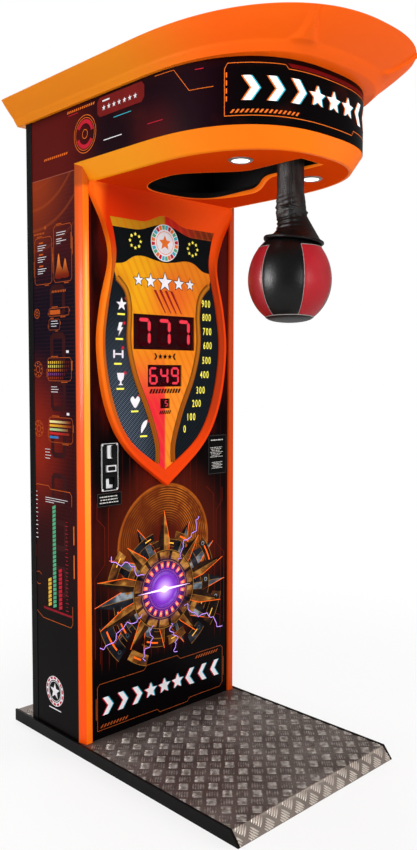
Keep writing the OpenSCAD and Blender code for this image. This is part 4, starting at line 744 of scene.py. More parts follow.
print_sides("side_ghosts", many(frame_of(-0.27, 1.44 - 0.15*i, 0.085, 0.1, 0.016 + 0.002*(i % 2), 0.014)
                                for i in range(7)), ink_finish("ghost_ink", (60, 20, 22)), 0.6)
emblem = (-0.306, 0.166)
print_sides("side_emblem_ring", ring(*emblem, 0.05, 0.013), white_ink)
print_sides("side_emblem_marks", many(ring(*emblem, 0.0475, 0.007, 4, 25.7*i + 3, 25.7*i + 20)
                                      for i in range(14)), crimson_ink, 2)
print_sides("side_emblem_star", [star(*emblem, 0.028)] + ring(*emblem, 0.034, 0.0022), white_ink)
print_sides("side_emblem_bar", [box(emblem[0], 0.106, 0.07, 0.0035)], white_ink)


# PILLARS. The corner pillars are orange gel-coat shells with a slanted outer face. The whole orange
# shell is one colour that the painter let fade from amber at the rear to orange-red at the nose.
def gel_coat(finish, tone, rough=0.34, **sockets):
    return finish.done((finish.noise(90, 1), 0.0006, 0.12), colour=tone, rough=rough, **sockets)


def lacquer_finish(name, amber, fiery, gloss=1):
    lacquer = Finish(name)
    fade = lacquer.y.rise(-0.05, -0.5).larger(lacquer.z.rise(1.85, 1.5)*0.25)
    haze = lacquer.noise(2.5, 2)
    return gel_coat(lacquer, lacquer.mix(fade + 0.2*haze - 0.1, amber, fiery), 0.36 + 0.08*haze,
                    coat=0.04*gloss, coat_rough=0.1, gloss=0.06*gloss)


shell_orange = lacquer_finish("orange_gel_coat", (244, 138, 12), (255, 98, 10))
# The pillar colours are painted light: the front face is lighter in a band at mid-height, the slanted outer
# face and the right pillar's front are painted in shade, the right pillar's outer face is painted lighter, a
# painted shadow darkens the tops under the rim, and the lower part glows a little in its own tone.
pillar_coat = Finish("pillar_gel_coat")
height, right = pillar_coat.z, pillar_coat.x.rise(-0.01, 0.01)
# streak is a painted highlight running down the left pillar's front face.
streak = abs(pillar_coat.x + 0.3195).rise(0.0075, 0.001)*height.rise(1.1, 1.3)*height.rise(1.68, 1.5)
facing = pillar_coat.coats(
    (255, 112, 12), (height.rise(0.2, 1.15), (255, 162, 52)), (height.rise(1.35, 1.7), (255, 120, 22)),
    (right, (196, 66, 14)), (streak*0.75, (255, 204, 118)))
flank = pillar_coat.coats((250, 80, 10), (height.rise(0.5, 1.5), (236, 88, 12)), (right*0.8, (255, 98, 14)))
coloured = pillar_coat.coats(facing, (abs(pillar_coat.x).rise(0.3296, 0.3312), flank),
                             (height.rise(1.772, 1.79)*0.7, (150, 66, 18)))
pillar_orange = gel_coat(pillar_coat, coloured, glow=0.14, coat=0.05, coat_rough=0.1, gloss=0.08,
                         light=pillar_coat.mix(height.rise(0.75, 1.15), coloured, (0, 0, 0)))


def model_of(name, angle=1):
    """A copy of a CAD node's mesh, its corners merged and its flat faces made whole."""
    piece = added(name + "_shape", node[name].data.copy())
    with editing(piece):
        bpy.ops.mesh.remove_doubles(threshold=1e-5)
        bpy.ops.mesh.dissolve_limited(angle_limit=radians(angle))
    return piece


def softened(name, width, angle):
    """A CAD node's mesh with rounded edges where its faces meet at more than the angle."""
    piece = model_of(name)
    apply(piece, "BEVEL", width=width, segments=3, limit_method="ANGLE", angle_limit=radians(angle))
    return piece


for name in ("left_pillar", "right_pillar"):
    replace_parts(settle(softened(name, 0.003, 25), name + "_shell", pillar_orange, "orange_shell"), name)

# SHIELD. The bezel is a moulded orange frame with a rounded band that turns into a cove under the
# head. Inside it lies the printed board of acrylic, with two raised ribs and three windows.
board_y, soffit_z = 0.143, 1.797
wing_x, waist_x, belly_x = 0.303, 0.232, 0.279
waist_z, belly_z, tip_z, top_z = 1.572, 1.285, 0.833, 1.703
band_w, crest = 0.028, 0.022
chest = Vector((waist_x + 0.7*(belly_x - waist_x), (waist_z + belly_z)/2))
hip = Vector((belly_x - 0.031, belly_z - 0.4*(belly_z - tip_z)))
flank_foot = Vector((0.6*belly_x, tip_z + 0.29*(belly_z - tip_z)))
outer_side = curve([(wing_x, soffit_z), (wing_x, soffit_z - 0.034), (waist_x + 0.022, waist_z + 0.098),
                    (waist_x, waist_z), chest, (belly_x, belly_z), hip, flank_foot, (0, tip_z)], 12)
inner_side = curve([(waist_x - 0.004, top_z), (waist_x - band_w + 0.008, waist_z + 0.08),
                    (waist_x - band_w, waist_z), chest - Vector((band_w, 0)), (belly_x - band_w, belly_z),
                    hip + band_w*Vector((-1.1, 0.3)), flank_foot + band_w*Vector((-0.8, 0.8)),
                    (0, tip_z + 1.9*band_w)], 14)


def smoothstep(t):
    t = max(0, min(1, t))
    return t*t*(3 - 2*t)


def arch_z(x):
    """The inner edge's height at the top, where it arches over the emblem."""
    return top_z + (0.0145*(1 + cos(pi*x/0.1)) if abs(x) < 0.1 else 0)


def all_round(half, top):
    """The right side down to the tip, the left side up, then the top from left to right."""
    return half + [Vector((-p.x, p.y)) for p in half[::-1] if p.x > 1e-6] + top


steps = [i/20 for i in range(-19, 20)]
outer_all = all_round(outer_side, [Vector((wing_x*s, soffit_z)) for s in steps])
walk = []
for i in range(len(outer_side)):
    t = i*(len(inner_side) - 1)/(len(outer_side) - 1)
    k = min(int(t), len(inner_side) - 2)
    walk.append(inner_side[k].lerp(inner_side[k + 1], t - k))
inner_all = all_round(walk, [Vector((inner_side[0].x*s, arch_z(inner_side[0].x*s))) for s in steps])


def grid_mesh(name, lines, loop_rows=False, loop_columns=True):
    """A skin over rows of points of equal length."""
    made = bpy.data.meshes.new(name)
    m, q = len(lines[0]), len(lines)
    faces = [(j*m + i, j*m + (i + 1) % m, (j + 1) % q*m + (i + 1) % m, (j + 1) % q*m + i)
             for j in range(q if loop_rows else q - 1) for i in range(m if loop_columns else m - 1)]
    made.from_pydata([tuple(p) for line in lines for p in line], [], faces)
    piece = added(name, made)
    with editing(piece):
        bpy.ops.mesh.remove_doubles(threshold=1e-6)
        bpy.ops.mesh.normals_make_consistent(inside=False)
    return piece


def bezel_row(share, share_cove, rise, rise_cove):
    """A line round the bezel: its share of the way inwards and of the height, on the band and in the cove."""
    line = []
    for outer, inner in zip(outer_all, inner_all):
        cove = smoothstep((outer.y - 1.5)/0.16)
        p = outer.lerp(inner, share + cove*(share_cove - share))
        line.append((p.x, panel_y - crest*(rise + cove*(rise_cove - rise)), p.y))
    return line


def cove_tone(coat):
    """The deep orange of the cove, lighter at its left and right ends: painted shade under the head."""
    return coat.coats((200, 44, 4), (coat.x.rise(-0.16, 0.2), (244, 80, 12)),
                      (coat.x.rise(-0.235, -0.285), (255, 108, 22)))


# The band is painted lighter towards the upper left and redder towards the lower right: painted light across
# the frame. Under the head it turns to the cove's painted shade.
band = Finish("frame_gel_coat")
band_tone = band.coats((250, 122, 24), ((band.x*0.7 - band.z*0.5).rise(-0.95, -0.5), (222, 60, 10)),
                       (band.z.rise(1.6, 1.7), cove_tone(band)))
# The frame's inner slope is painted darker than the band from about z 1 upwards: painted shade on the slope
# that faces inwards. At the top it turns to the cove's painted shade.
slope = Finish("shaded_gel_coat")
shade = slope.mix(slope.x.rise(-0.1, 0.1), (186, 88, 22), (172, 50, 10))
slope_tone = slope.coats((216, 60, 10), (slope.z.rise(0.94, 1.12), shade),
                         (slope.z.rise(1.52, 1.66), cove_tone(slope)))
crest_profile = ((0, 0, 0, 0), (0, 0, 0.3, 1), (0, 0, 0.86, 1), (0.05, 0.04, 0.98, 0.88),
                 (0.09, 0.12, 1, 0.76), (0.22, 0.2, 0.99, 0.68), (0.36, 0.3, 0.95, 0.6))
slope_profile = ((0.36, 0.3, 0.95, 0.6), (0.4, 0.38, 0.9, 0.55), (0.6, 0.58, 0.78, 0.47),
                 (0.8, 0.78, 0.66, 0.42), (0.94, 0.93, 0.6, 0.4), (0.98, 0.98, 0.55, 0.38),
                 (1, 1, 0.34, 0.36), (1, 1, 0, 0))
for name, profile, finish, tone, rough in (("shield_frame", crest_profile, band, band_tone, 0.34),
                                         ("shield_frame_slope", slope_profile, slope, slope_tone, 0.36)):
    bezel = grid_mesh(name, [bezel_row(*line) for line in profile])
    if sum(face.normal.y*face.area for face in bezel.data.polygons) > 0:
        bezel.data.flip_normals()
    # Both parts of the frame glow a little in their own tone: painted light that lifts their shaded parts.
    coat = gel_coat(finish, tone, rough, gloss=0.02, light=tone, glow=0.1)
    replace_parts(settle(bezel, name, coat, "orange_shell", smooth=32), "shield_bezel")

sun = Finish("board_print")
rays = ((sun.x*0.8 + sun.z*0.45)*260 + 4*sun.noise(4, 2)).sine().rise(0.1, 0.9)
halves = sun.x.rise(-0.004, 0.004)
low_field = sun.mix(halves, (228, 40, 54), (240, 138, 40))
top_field = sun.mix(halves, (194, 136, 20), sun.mix(sun.x.rise(0, 0.19), (214, 34, 26), (120, 44, 14)))
paint(printed(sun, sun.coats(
    (228, 162, 16), (sun.x.rise(-0.12, 0.14), (232, 130, 20)), (sun.z.rise(1.47, 1.28)*0.8, (228, 128, 20)),
    (sun.z.rise(1.32, 1.1), low_field), (sun.z.rise(1.66, 1.68), top_field),
    (sun.away(sun.x, sun.z, 0.03, 1.47).rise(0.14, 0.02)*0.6, (224, 66, 34)),
    (abs(sun.x).rise(0.12, 0.21)*sun.z.rise(1.56, 1.5)*0.7, (186, 92, 14)), (rays*0.28, (214, 84, 14))),
    scale=200), "score_board")

on_board = facing_front(board_y)
print_board = partial(ink, places=[on_board], slot="printed_acrylic")
rib_line = curve([(0.205, 1.5175), (0.1638, 1.475), (0.151, 1.4096), (0.1542, 1.3073), (0.127, 1.1999),
                  (0.073, 1.0828), (0.037, 0.9745), (0.0362, 0.9107)], 8)
weave = Finish("woven_black_field")
weft, warp = (weave.x*0.75 + weave.z)*pi/0.0034, (weave.x - weave.z)*pi/0.0042
twill = weft.sine().rise(-0.2, 0.9)*(0.7 + 0.3*(warp*0.5).sine())
thread = weave.mix(weave.x.rise(0.05, -0.2)*weave.z.rise(1.5, 1.0), (34, 44, 52), (120, 136, 158))
field = [tuple(p) for p in rib_line] + [(0.034, 0.885)]
field += [tuple(p) for p in inner_side[::-1] if 0.9 < p.y < 1.54]
print_board("board_weave", both_sides(field),
            weave.done((twill, 0.0002, 0.3), colour=weave.mix(twill, (9, 12, 16), thread), **film))
band_top = [(x, 1.674 + 0.029*0.5*(1 + cos(pi*min(1, abs(x)/0.13)))) for x in (u/100 for u in range(-22, 23))]
right_foot = [(0, 1.579), (0.045, 1.584), (0.09, 1.592), (0.13, 1.588), (0.175, 1.564), (0.22, 1.559)]
band_foot = curve([(-u, v) for u, v in right_foot[:0:-1]] + right_foot, 5)
print_board("board_band", [band_top + [tuple(p) for p in band_foot[::-1]]],
            ink_finish("board_black", (14, 18, 20)))
# The dark line along each side of a rib is painted shade beside the raised rib. The orange-brown bed under the
# rib makes it wider.
for name, width, lift, colour in (("rib_edge", 0.0215, 3, (54, 26, 8)),
                                  ("rib_bed", 0.0178, 4, (158, 88, 18))):
    print_board(name, both_sides(ribbon(rib_line[1:], width)), ink_finish(name, colour), lift,
                slot="dark_trim")
ribs = Finish("rib_orange")
rib_orange = ribs.done((ribs.noise(160, 1), 0.0003, 0.2), rough=0.3, gloss=0.05,
                       colour=ribs.mix(ribs.z.rise(1.0, 1.5), (150, 70, 14), (188, 116, 20)))
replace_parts(settle(softened("board_ribs", 0.0014, 40), "rounded_ribs", rib_orange, "dark_trim"), "board_ribs")

# emblem, stars and title forms of the board
badge, title_z = (0, 1.644), 1.514
lime_ink = ink_finish("lime_ink", (240, 228, 84), 0.35)
print_board("emblem_disc", ring(*badge, 0.061), white_ink, 2)
for k, colour in enumerate((crimson_ink, cyan_ink, green_ink, orange_ink)):
    print_board("emblem_marks_%d" % k, many(ring(*badge, 0.058, 0.014, 3, 15*i + 1, 15*i + 13)
                                            for i in range(k, 24, 4)), colour, 3)
print_board("emblem_star", [star(*badge, 0.026, 0.46)] + ring(*badge, 0.038, 0.0018), orange_ink, 3)
eighths = [radians(45*i) for i in range(8)]
print_board("board_star_rings", [star(s*0.126 + 0.022*cos(a), 1.637 + 0.022*sin(a), 0.0064, 0.5)
                                 for s in (-1, 1) for a in eighths], lime_ink, 2)
title_stars = ((-0.113, 0.02), (-0.062, 0.024), (0, 0.032), (0.062, 0.024), (0.113, 0.02))
print_board("title_back", [star(u, title_z, r + 0.0045, 0.47) for u, r in title_stars], dark_ink, 2)
print_board("title", [star(u, title_z, r) for u, r in title_stars], white_ink, 3)
streak = [(0, 1.487), (0.012, 1.487), (0.055, 1.413), (0.05, 1.413)]
print_board("board_streaks", many(moved([streak], u) for u in (-0.05, -0.026, -0.002, 0.022)),
            ink_finish("streak_ink", (150, 24, 22)))
# dark marks below the three displays
print_board("display_marks", title_forms(0, 1.268, 0.021, 5, 0.021)
            + slants(-0.066, 1.1525, 11, 0.0125, 0.008, 0.0145)
            + slants(-0.024, 1.081, 6, 0.0085, 0.0052, 0.012), dark_ink, 3)

# the scale of the right-hand field: the place of each number, from 900 down to 0
scale = [(0.189, 1.453), (0.192, 1.406), (0.195, 1.357), (0.197, 1.308), (0.192, 1.256), (0.182, 1.206),
         (0.163, 1.152), (0.144, 1.106), (0.118, 1.06), (0.088, 1.019)]
numbers = []
for value, (u, v) in zip(range(900, -1, -100), scale):
    clear()
    bpy.ops.object.text_add(location=(0, 0, 0))
    text = bpy.context.active_object
    text.data.body, text.data.size = str(value), 0.034
    text.data.align_x, text.data.align_y = "CENTER", "CENTER"
    text.data.offset, text.data.space_character = 0.0005, 1.34
    bpy.ops.object.convert(target="MESH")
    text = bpy.context.active_object
    text.data.transform(Matrix.Translation((u, v, 0)) @ Matrix.Diagonal((0.66, 1, 1, 1)))
    numbers.append(lay(text, on_board, 5))
gather(numbers, "scale_numbers", lime_ink, "printed_acrylic")

# six small signs of the left-hand field: star, bolt, dumb-bell, cup, heart and feather
sign_places = [(-0.183, 1.431), (-0.191, 1.352), (-0.197, 1.273), (-0.188, 1.193), (-0.129, 1.119),
               (-0.092, 1.036)]
signs = [
    [star(0, 0, 0.022)],
    [[(-0.002, 0.022), (0.012, 0.022), (0.005, 0.006), (0.014, 0.006), (-0.006, -0.022), (0, -0.004),
      (-0.01, -0.004)]],
    [box(0, 0, 0.026, 0.005), box(-0.017, 0, 0.007, 0.026, 0.002), box(0.017, 0, 0.007, 0.026, 0.002)],
    [[(-0.015, 0.02), (0.015, 0.02), (0.011, 0), (0.003, -0.007), (0.003, -0.014), (0.01, -0.019),
      (-0.01, -0.019), (-0.003, -0.014), (-0.003, -0.007), (-0.011, 0)]],
    [closed([(0, 0.009), (0.01, 0.018), (0.02, 0.008), (0.012, -0.008), (0, -0.02), (-0.012, -0.008),
             (-0.02, 0.008), (-0.01, 0.018)], 4)],
    [closed([(-0.012, -0.02), (-0.012, 0), (-0.002, 0.016), (0.014, 0.022), (0.01, 0.006), (0, -0.008)], 4)]]
print_board("sign_shapes", many(moved(group, *place) for place, group in zip(sign_places, signs)),
            white_ink, 2)
print_board("sign_accents", many(ring(u + 0.018, v + 0.02, 0.0052) for u, v in sign_places), crimson_ink, 3)
print_board("sign_bars", [box(u - 0.002, v - 0.031, 0.03, 0.0055) for u, v in sign_places], lime_ink, 2)

# DISPLAYS. Bars of red light-emitting segments sit behind smoked windows; the bars that are off
# stay dark red. The modules with their circuit are behind them.
glass = mottled("smoked_window", (20, 2), (64, 3, 12), (48, 2, 8), 0.12, alpha=0.3, gloss=0.03)
dark_red = mottled("dark_segment", (60, 2), (74, 5, 10), (58, 4, 8), **film)
lit = Finish("lit_segment")
lit_red = lit.done(colour=lit.mix(lit.noise(60, 2), (220, 30, 50), (240, 60, 76)), rough=0.4, glow=1.5,
                   light=lit.mix(lit.noise(90, 2), (255, 40, 66), (255, 76, 92)))
segments = {"7": "abc", "6": "acdefg", "4": "bcfg", "9": "abcdfg", "5": "acdfg", " ": ""}


def loose_parts(work):
    """The groups of corners that edges join."""
    known, parts = set(), []
    for start in work.verts:
        if start in known:
            continue
        part, queue = [], [start]
        known.add(start)
        while queue:
            corner = queue.pop()
            part.append(corner)
            for other in (edge.other_vert(corner) for edge in corner.link_edges):
                if other not in known:
                    known.add(other)
                    queue.append(other)
        parts.append(part)
    return parts


def segment_of(dx, dz, high):
    """The letter of the bar whose middle is here in its digit, a on top and g across the middle."""
    if abs(dx) < 0.1*high:
        return "a" if dz > 0.2*high else "d" if dz < -0.2*high else "g"
    if dx > 0:
        return "b" if dz > 0 else "c"
    return "f" if dz > 0 else "e"


def bars_of(name, shown, centre_z, pitch, high, shining):
    """The bars of one display that shine, or those that are off."""
    piece = model_of(name)
    clear()
    work, drop = bmesh.new(), []
    work.from_mesh(piece.data)
    for part in loose_parts(work):
        along = sum(v.co.x for v in part)/len(part)/pitch + (len(shown) - 1)/2
        k = round(along)
        letter = segment_of((along - k)*pitch, sum(v.co.z for v in part)/len(part) - centre_z, high)
        if (letter in segments[shown[k]]) != shining:
            drop += part
    bmesh.ops.delete(work, geom=drop, context="VERTS")
    work.to_mesh(piece.data)
    work.free()
    return piece


panes = []
for w, h, z in ((0.2696, 0.1146, 1.3475), (0.1496, 0.0726, 1.2035), (0.0416, 0.0326, 1.1105)):
    clear()
    bpy.ops.mesh.primitive_cube_add(size=1, location=(0, board_y + 0.00125, z))
    pane = bpy.context.active_object
    pane.scale = (w, 0.0017, h)
    bpy.ops.object.transform_apply()
    apply(pane, "BEVEL", width=0.0004, segments=2)
    panes.append(pane)
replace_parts(gather(panes, "smoked_panes", glass, "smoked_window"), "display_windows")
for name, *display in (("score_digits", "777", 1.3475, 0.08775, 0.09085),
                       ("best_digits", "649", 1.2035, 0.048, 0.05767),
                       ("turns_digits", " 5", 1.1105, 0.01764, 0.02046)):
    for shining, ending, material in ((True, "_lit", lit_red), (False, "_off", dark_red)):
        piece = bars_of(name, *display, shining)
        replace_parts(settle(piece, name + ending, material, "red_segments", smooth=0), name)
black_plastic = mottled("black_moulding", (30, 2), (8, 7, 8), (16, 15, 16), (0.45, 0.1, 90, 2),
                        (700, 2, 0.0003, 0.4), gloss=0.2)
paint(black_plastic, "digit_modules", "return_cup", "coin_acceptor", "speaker", "power_inlet", "swing_sensor",
      "solenoid", "recess_box")

# COIN UNIT. A black enamelled plate with a bright edge line carries the coin slot in its chromed
# bezel, the reject button in a raised frame, and the return cup with its hinged flap.
coin_x, coin_z, plate_y = -0.2305, 0.836, 0.147
enamel = mottled("black_enamel", (40, 3), (10, 10, 11), (30, 29, 29), relief=(500, 2, 0.0003, 0.3), **film)
paint(enamel, "coin_plate", "return_flap")
paint(mottled("card_black", (40, 3), (7, 6, 7), (14, 12, 12), relief=(400, 2, 0.0002, 0.3), **film),
      "info_plates")
chrome = mottled("chrome", (30, 3), (250, 250, 250), (232, 232, 234), (0.14, 0.16, 50, 3), metal=0.4)
paint(chrome, "coin_slot_bezel", "reject_button", "plate_screws", "door_lock")
ink("coin_plate_edge", frame_of(coin_x, coin_z + 0.077, 0.067, 0.152, 0.0016, 0.003)
    + [box(coin_x - 0.032, coin_z + 0.077, 0.004, 0.148)], chrome, 1, [facing_front(plate_y)], "chrome_metal")
# slot_shade is a black sheet over the right part of the slot's chrome bezel: painted shade.
ink("slot_shade", [box(coin_x + 0.0067, coin_z + 0.126, 0.0084, 0.0405, 0.002)], enamel, 1,
    [facing_front(plate_y - 0.004)], "dark_trim")
ink("button_face", [box(coin_x + 0.002, coin_z + 0.073, 0.029, 0.0135, 0.002)], enamel, 1,
    [facing_front(plate_y - 0.008)], "dark_trim", body="reject")
hook = [(-0.006, 0.033), (-0.006, 0), (0.019, 0), (0.019, 0.011), (0.006, 0.012), (0.004, 0.033)]
ink("flap_bar", moved([hook], coin_x - 0.002, coin_z + 0.008), chrome, 1, [facing_front(plate_y + 0.0092)],
    "chrome_metal", body="flap")


def written(u, v, w, h, seed):
    """A row of short and long dashes, as print too small to read."""
    row, x, i = [], u - w/2, seed
    while x < u + w/2 - 0.004:
        dash = min(0.004 + 0.0022*(i*7 % 5), u + w/2 - x)
        row.append(box(x + dash/2, v, dash, h))
        x += dash + 0.0026
        i += 1
    return row


print_card = partial(ink, places=[facing_front(panel_y - 0.001)], slot="dark_trim")
texts = [written(coin_x - 0.002, 0.8185 - 0.0095*i, 0.074 - 0.006*(i % 2), 0.0032, 3*i) for i in range(3)]
texts += [written(0.252, 0.973, 0.06, 0.0036, 1)]
texts += [written(0.25 - 0.002*(i % 3), 0.9465 - 0.0056*i, 0.062 - 0.011*(i % 3), 0.0019, 2*i)
          for i in range(7)]
texts += [written(0.254, 0.893 - 0.0052*i, 0.054 - 0.01*(i % 2), 0.0019, 5*i) for i in range(5)]
print_card("card_lines", many(texts), ink_finish("pale_grey_ink", (206, 204, 200), 0.1))
print_card("card_edges", frame_of(coin_x, 0.809, 0.095, 0.041, 0.0009)
           + frame_of(0.255, 0.921, 0.088, 0.138, 0.0009), ink_finish("dim_grey_ink", (84, 80, 78)))

# INSIDE AND REAR. Sheet-metal chute and cash box, the frame of the head, hinges and cam are zinc
# plated; the door, the speaker and the inlet are black; the circuit board is green lacquer.
zinc = Finish("zinc_plating")
paint(zinc.done((zinc.noise(500, 2), 0.0003, 0.3), metal=0.9, rough=0.34 + 0.2*zinc.noise(30, 3),
                colour=zinc.mix(zinc.pores(55).rise(0, 0.9)*0.5, (168, 170, 170), (128, 130, 132))),
      "coin_chute", "cash_box", "head_frame", "door_hinges", "hinge_leaves", "lock_cam", "pivot_brackets",
      "catch_pawl", "solenoid_plunger", "pivot_shaft", "power_supply")
paint(mottled("drawn_steel_tube", (20, 4, (1, 1, 0.1)), (70, 70, 72), (120, 118, 114), metal=0.8), "arm_tube")
paint(mottled("black_rubber", (60, 3), (18, 18, 18), (30, 29, 28), 0.75, (300, 3, 0.0006, 0.5)),
      "ball_buffer")
paint(mottled("red_rocker", (60, 2), (170, 20, 22), (140, 14, 18), 0.3, coat=0.3), "power_rocker")
circuit = Finish("circuit_lacquer")
tracks = (circuit.y*900).sine().rise(0.2, 0.6)*(circuit.z*330).sine().rise(-0.4, 0.2)
paint(circuit.done((tracks, 0.0002, 0.3), colour=circuit.mix(tracks, (14, 70, 40), (30, 110, 62)), rough=0.35,
                   coat=0.4), "control_board")

# HEAD. A slanted rim and an underside of the orange shell close the head below; the underside is
# rolled up round the opening of the ball. Printed boards form the sides and the curved front.
nose_y, rim_top, head_top = -0.137, 1.85, 2.02
board_a, board_b, board_n = 0.34, 0.412, 2.55
sole_a, sole_b, sole_n = 0.302, 0.394, 2.4


def nose_line(a, b, n, y=nose_y, rear=nose_y, k=60):
    """A head outline from the left rear round the nose to the right rear."""
    line = []
    for i in range(-k, k + 1):
        t = radians(90*i/k)
        s = 1 if t >= 0 else -1
        line.append((a*s*abs(sin(t))**(2/n), y - b*abs(cos(t))**(2/n)))
    return [(-a, rear)] + line + [(a, rear)]


def raised(line, z):
    return [Vector((x, y, z)) for x, y in line]


def rim_row(a, b, n, z):
    return raised(nose_line(a, b, n, rear=side_y, k=110), z)


rim_low, rim_high = rim_row(sole_a, sole_b, sole_n, soffit_z), rim_row(board_a, board_b, board_n, rim_top)
rim_rows = [rim_row(board_a - 0.008, board_b - 0.008, board_n, rim_top),
            rim_row(board_a - 0.0015, board_b - 0.0015, board_n, rim_top)]
rim_rows += [[p.lerp(q, f) for p, q in zip(rim_high, rim_low)] for f in (0.02, 0.1, 0.5, 0.9, 0.975)]
rim_rows += [rim_row(sole_a - d, sole_b - d, sole_n, soffit_z) for d in (0.002, 0.008)]
rim = grid_mesh("rim", rim_rows, loop_rows=True, loop_columns=False)
rim_orange = lacquer_finish("rim_gel_coat", (255, 158, 20), (255, 116, 12))
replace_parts(settle(rim, "rim_shell", rim_orange, "orange_shell"), "head_rim")
marquee_rows = [raised(nose_line(board_a - d, board_b - d, board_n, k=150), z)
                for d, z in ((0, rim_top), (0, head_top), (0.006, head_top), (0.006, rim_top))]
marquee = grid_mesh("marquee_front", marquee_rows, loop_rows=True, loop_columns=False)
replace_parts(settle(marquee, "curved_front", head_print, "printed_board"), "marquee")

# the opening: a narrow slot for the sleeve in front that widens to a round end for the ball
slot_x, wide_x = 0.046, 0.165
quarter = [radians(90 - 90*i/20) for i in range(1, 21)]
mouth = [(slot_x, y) for y in (-0.474, -0.43, -0.38, -0.34)]
mouth += [(slot_x + (wide_x - slot_x)*smoothstep(i/20), -0.3 + 0.22*i/20) for i in range(21)]
mouth += [(wide_x*abs(sin(a))**(2/2.8), -0.08 + 0.2*abs(cos(a))**(2/2.8)) for a in quarter]
mouth += [(-x, y) for x, y in mouth[-2::-1]]


def roll(y):
    """The radius of the rolled edge, which is small in the slot and at the rear."""
    return (0.003 + 0.008*smoothstep((0.09 - y)/0.16))*(0.6 + 0.4*smoothstep((y + 0.32)/0.12))


def spread(line, share, extra=0):
    """The mouth's outline moved outwards by a share of its roll."""
    wider, n = [], len(line)
    for i, p in enumerate(line):
        way = (Vector(line[(i + 1) % n]) - Vector(line[i - 1])).normalized()
        d = share*roll(p[1]) + extra
        wider.append((p[0] + d*way.y, p[1] - d*way.x))
    return wider


def face_down(piece):
    if piece.data.polygons[0].normal.z > 0:
        piece.data.flip_normals()
    return piece


lip_rows = [[(x, y, soffit_z + roll(p[1])*(1 - cos(a)))
             for (x, y), p in zip(spread(mouth, 1 - sin(a)), mouth)]
            for a in (radians(15*i) for i in range(7))]
lip = face_down(grid_mesh("lip", lip_rows))
collar = grid_mesh("collar", [lip_rows[-1], raised(spread(mouth, 0, 0.003), soffit_z + 0.022)])
apply(collar, "SOLIDIFY", thickness=0.001, offset=1)
settle(collar, "mouth_collar", black_plastic, "dark_trim")
lamp_x, lamp_y = 0.153, -0.35
under = sheet("soffit", [nose_line(sole_a - 0.008, sole_b - 0.008, sole_n, rear=0.166), spread(mouth, 1)]
              + ring(lamp_x, lamp_y, 0.0303) + ring(-lamp_x, lamp_y, 0.0303))
for corner in under.data.vertices:
    corner.co.z = soffit_z
under.data.update()
apply(face_down(under), "WELD", merge_threshold=0.00005)
# The underside is the orange shell painted a deep red-orange: painted shade, since it faces down.
shaded_under_orange = lacquer_finish("shaded_underside_gel_coat", (208, 56, 6), (226, 70, 6), 0)
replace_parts(settle(under, "flat_underside", shaded_under_orange, "orange_shell"), "head_soffit")
# The rolled edge is painted light: darker at the rear, bright orange towards the front, and glowing in its own
# tone as if the lamps lit it.
rolled = Finish("lit_rolled_edge_gel_coat")
lit_rolled_tone = rolled.mix(rolled.y.rise(0.13, 0.0), (214, 84, 24), (255, 122, 22))
lit_edge_orange = rolled.done(colour=lit_rolled_tone, rough=0.4, gloss=0.02, light=lit_rolled_tone, glow=0.3)
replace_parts(settle(lip, "rolled_edge", lit_edge_orange, "orange_shell", smooth=50), "head_soffit")

# the print of the head: a ring sign, dashes and lines on the sides, and the framed front
head_line = [Vector(p) for p in nose_line(cab_x, board_b, board_n, rear=cab_rear, k=120)]
runs = [0]
for a, b in zip(head_line, head_line[1:]):
    runs.append(runs[-1] + (b - a).length)


def on_head(u, v, lift=0):
    """u runs round the head, 0 at the middle of the nose, less on the left."""
    s = u + runs[-1]/2
    k = next((i for i in range(len(runs) - 1) if runs[i] <= s <= runs[i + 1]), 0 if s < 0 else len(runs) - 2)
    p = head_line[k].lerp(head_line[k + 1], (s - runs[k])/(runs[k + 1] - runs[k]))
    way = (head_line[k + 1] - head_line[k]).normalized()
    return Vector((p.x + lift*way.y, p.y - lift*way.x, v))


def on_head_mirrored(u, v, lift=0):
    return on_head(-u, v, lift)


wide = [i*0.012 for i in range(-62, 63)]
print_head = partial(ink, places=[on_head, on_head_mirrored], cuts=wide)
print_nose = partial(ink, places=[on_head], cuts=wide)
dial_mid = (-0.87, 1.925)
print_head("head_lines", ring(*dial_mid, 0.056, 0.002) + ring(*dial_mid, 0.048, 0.0016)
           + ring(*dial_mid, 0.014, 0.002) + slants(-0.96, 2.005, 13, 0.011, 0.006, 0.007)
           + slants(-1.09, 1.887, 12, 0.011, 0.006, 0.007)
           + [ribbon([(-0.55, 2.012), (-0.48, 2.012), (-0.43, 1.95), (-0.36, 1.95)], 0.0016)], orange_ink)
print_head("head_arcs", ring(*dial_mid, 0.043, 0.012, 20, 10, 150)
           + ring(*dial_mid, 0.043, 0.012, 20, 200, 330)
           + [box(-0.4, 2.0, 0.025, 0.002), box(-0.55, 1.892, 0.06, 0.002), box(-0.93, 1.995, 0.05, 0.002)],
           crimson_ink)
print_head("head_bars", [box(-0.735, 1.888, 0.085, 0.0024), box(-0.765, 2.0, 0.034, 0.0045)], white_ink, 2)
print_head("head_panel", [box(-0.7, 1.985, 0.215, 0.055, 0.012)], ink_finish("dark_red_ink", (120, 28, 26)))
print_head("head_panel_forms", [star(-0.775 + 0.024*i, 1.98, 0.0085) for i in range(7)], white_ink, 3)
print_head("head_cyan", [box(-0.69, 1.943, 0.08, 0.002)], cyan_ink)
nose_edge = [(-0.33, 1.872), (-0.33, 1.99), (-0.322, 2.004), (-0.17, 2.004), (-0.16, 1.994),
             (0.2, 1.994), (0.21, 2.004), (0.322, 2.004), (0.33, 1.99), (0.33, 1.905), (0.318, 1.886),
             (0.1, 1.886), (0.09, 1.872), (-0.33, 1.872)]
